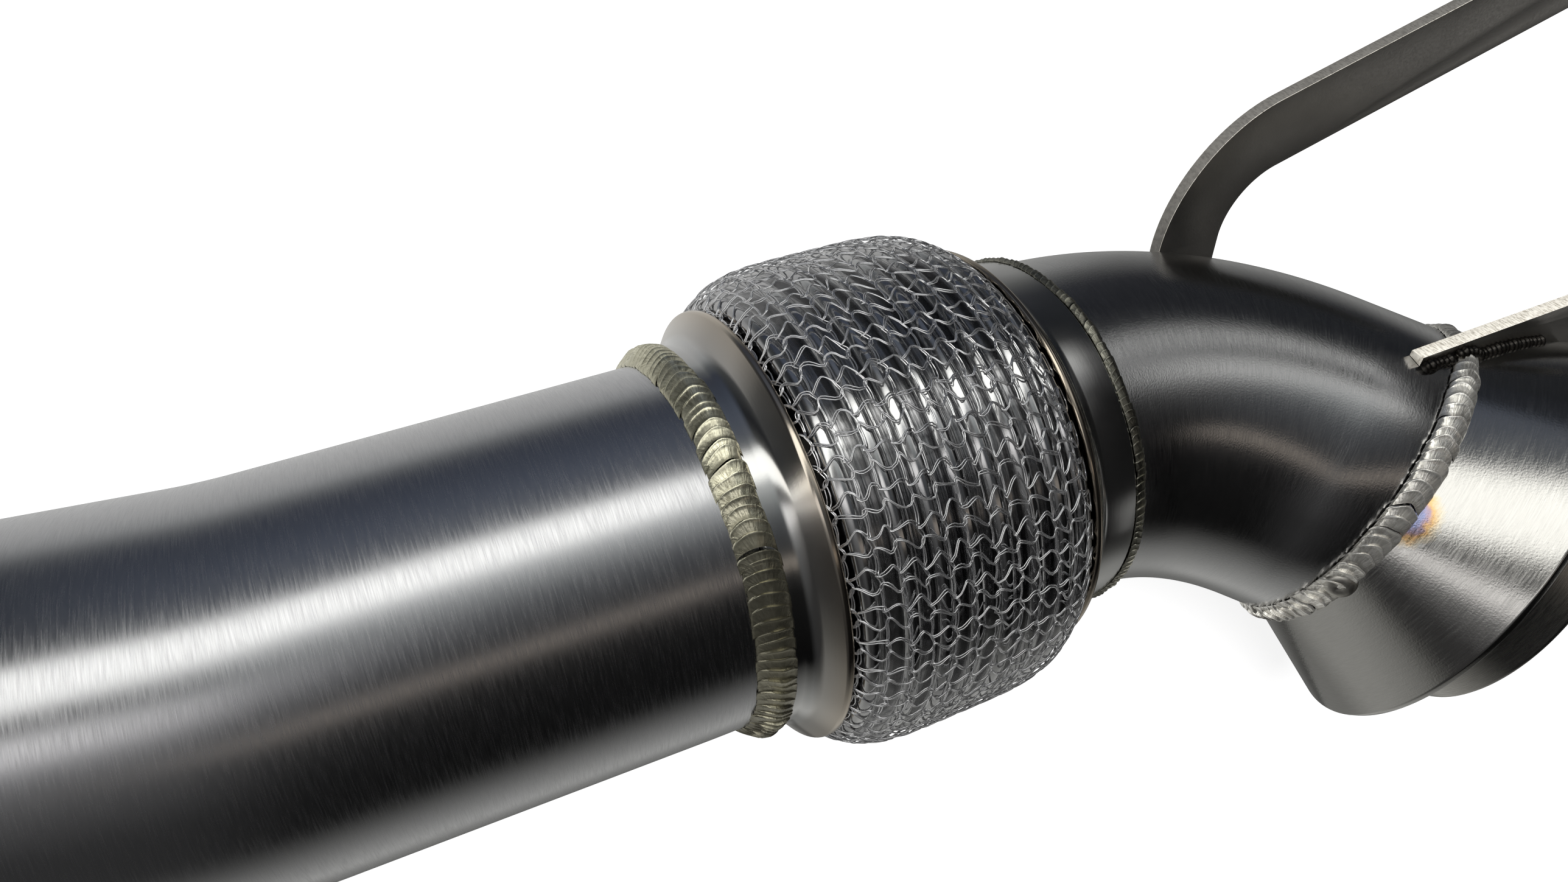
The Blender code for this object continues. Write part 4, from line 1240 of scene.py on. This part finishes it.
BEND_SKY = (
    (-180, 0.12, CREAM), (-132, 0.34, LAMP), (-100, 0.32, WALL), (-84, 0.12, MINT),
    (-70, 0.04, SLATE), (-40, 0.02, BLUE), (-26, 0.05, WHITE), (-17, 0.5, LAMP),
    (-12, 0.8, LAMP), (-4, 0.75, WALL), (3, 0.34, WHITE), (12, 0.06, WHITE), (30, 0.02, WHITE),
    (112, 0.01, WHITE), (126, 0.07, FLOOR), (142, 0.3, CREAM), (172, 0.3, CREAM),
)
END_SKY = (
    (-180, 0.12, CREAM), (-127, 0.28, LAMP), (-95, 0.14, WALL), (-75, 0.03, SLATE),
    (-25, 0.02, BLUE), (-12, 0.06, WHITE), (-3, 0.04, WHITE), (20, 0.01, WHITE),
    (86, 0.01, WHITE), (97, 0.34, ROSE), (112, 0.36, ROSE), (117, 0.02, WHITE),
    (150, 0.02, WHITE), (170, 0.06, WHITE),
)
# where each sky after the middle one takes over, by the direction's X
SKY_CHANGES = ((0.33, 0.43, TURBO_SKY), (0.54, 0.59, BEND_SKY), (0.6, 0.68, END_SKY))
LAMP_POWER = 2.5
FLOOR_WHITE = 0.95


def world_light():
    """The room as the steel mirrors it, one sky passing into the next along the pipe, and a plain
    pale ground behind the part."""
    world = bpy.data.worlds.new("studio")
    bpy.context.scene.world = world
    tree = NodeTree(world)
    back = tree.nodes["Background"].inputs
    way = tree.axes(tree.node("TexCoord").outputs["Generated"])
    angle = tree.maths("ARCTAN2", tree.maths("MULTIPLY", way["Y"], -1), way["Z"])
    turn = tree.spread(angle, -pi, pi)

    def sky(stops):
        return tree.ramp(turn, [((spot + 180) / 360, [c * power / LAMP_POWER for c in hue])
                                for spot, power, hue in stops])

    whole = tree.blend(tree.spread(way["X"], -0.45, -0.12), sky(OUTLET_SKY), sky(MIDDLE_SKY))
    for low, high, stops in SKY_CHANGES:
        whole = tree.blend(tree.spread(way["X"], low, high), whole, sky(stops))
    camera_ray = tree.node("LightPath").outputs["Is Camera Ray"]
    ground = (FLOOR_WHITE / LAMP_POWER,) * 3
    tree.feed(tree.blend(camera_ray, whole, ground), back["Color"])
    tree.feed(LAMP_POWER, back["Strength"])


def stand(data):
    obj = bpy.data.objects.new(data.name, data)
    bpy.context.scene.collection.objects.link(obj)
    return obj


def fill_lamp():
    """Soft light from above the near side, for the matt edges: bright steel doesn't mirror it."""
    data = bpy.data.lights.new("overhead_fill", "SUN")
    data.energy = 4.2
    data.angle = radians(40)
    obj = stand(data)
    obj.rotation_euler = Vector((-0.2, -0.35, 0.9)).to_track_quat("Z", "Y").to_euler()
    obj.visible_glossy = False


def floor():
    drop_selection()
    bpy.ops.mesh.primitive_plane_add(size=8, location=(0, 0, -0.0006))
    obj = bpy.context.object
    obj.name = "pale_floor"
    made = Finish("pale_floor", (0.2, 0.2, 0.2), 0.9, metallic=0.0)
    made.feed(WHITE, made.shader["Emission Color"])
    made.feed(0.86, made.shader["Emission Strength"])
    obj.data.materials.append(made.mat)
    obj.visible_glossy = False


def camera():
    data = bpy.data.cameras.new("photo_view")
    data.sensor_fit = "HORIZONTAL"
    data.sensor_width = SENSOR_WIDTH
    data.lens = FOCAL_PIXELS / PHOTO_WIDTH * SENSOR_WIDTH
    data.clip_start = 0.005
    obj = stand(data)
    look = Vector(CAMERA_LOOK).normalized()
    up = Vector(CAMERA_UP)
    up = (up - look * up.dot(look)).normalized()
    right = look.cross(up)
    turn = Matrix((right, up, -look)).transposed().to_4x4()
    obj.matrix_world = Matrix.Translation(place(*CAMERA_SPOT)) @ turn
    bpy.context.scene.camera = obj


# ---- the whole pipe

camera()
outlet_pipe()
bent_elbow()
collars()
bellows()
liner()
knit()
cone()
spigot_ring()
welds()
straps()
strap_beads()

for node in ("flex_outlet_ring", "flex_inlet_ring", "turbo_flange_weld"):
    for socket in frame["nodes"][node].material_slots:
        socket.material = PLAIN_RING

world_light()
fill_lamp()
floor()
bpy.context.scene.view_settings.view_transform = "Standard"
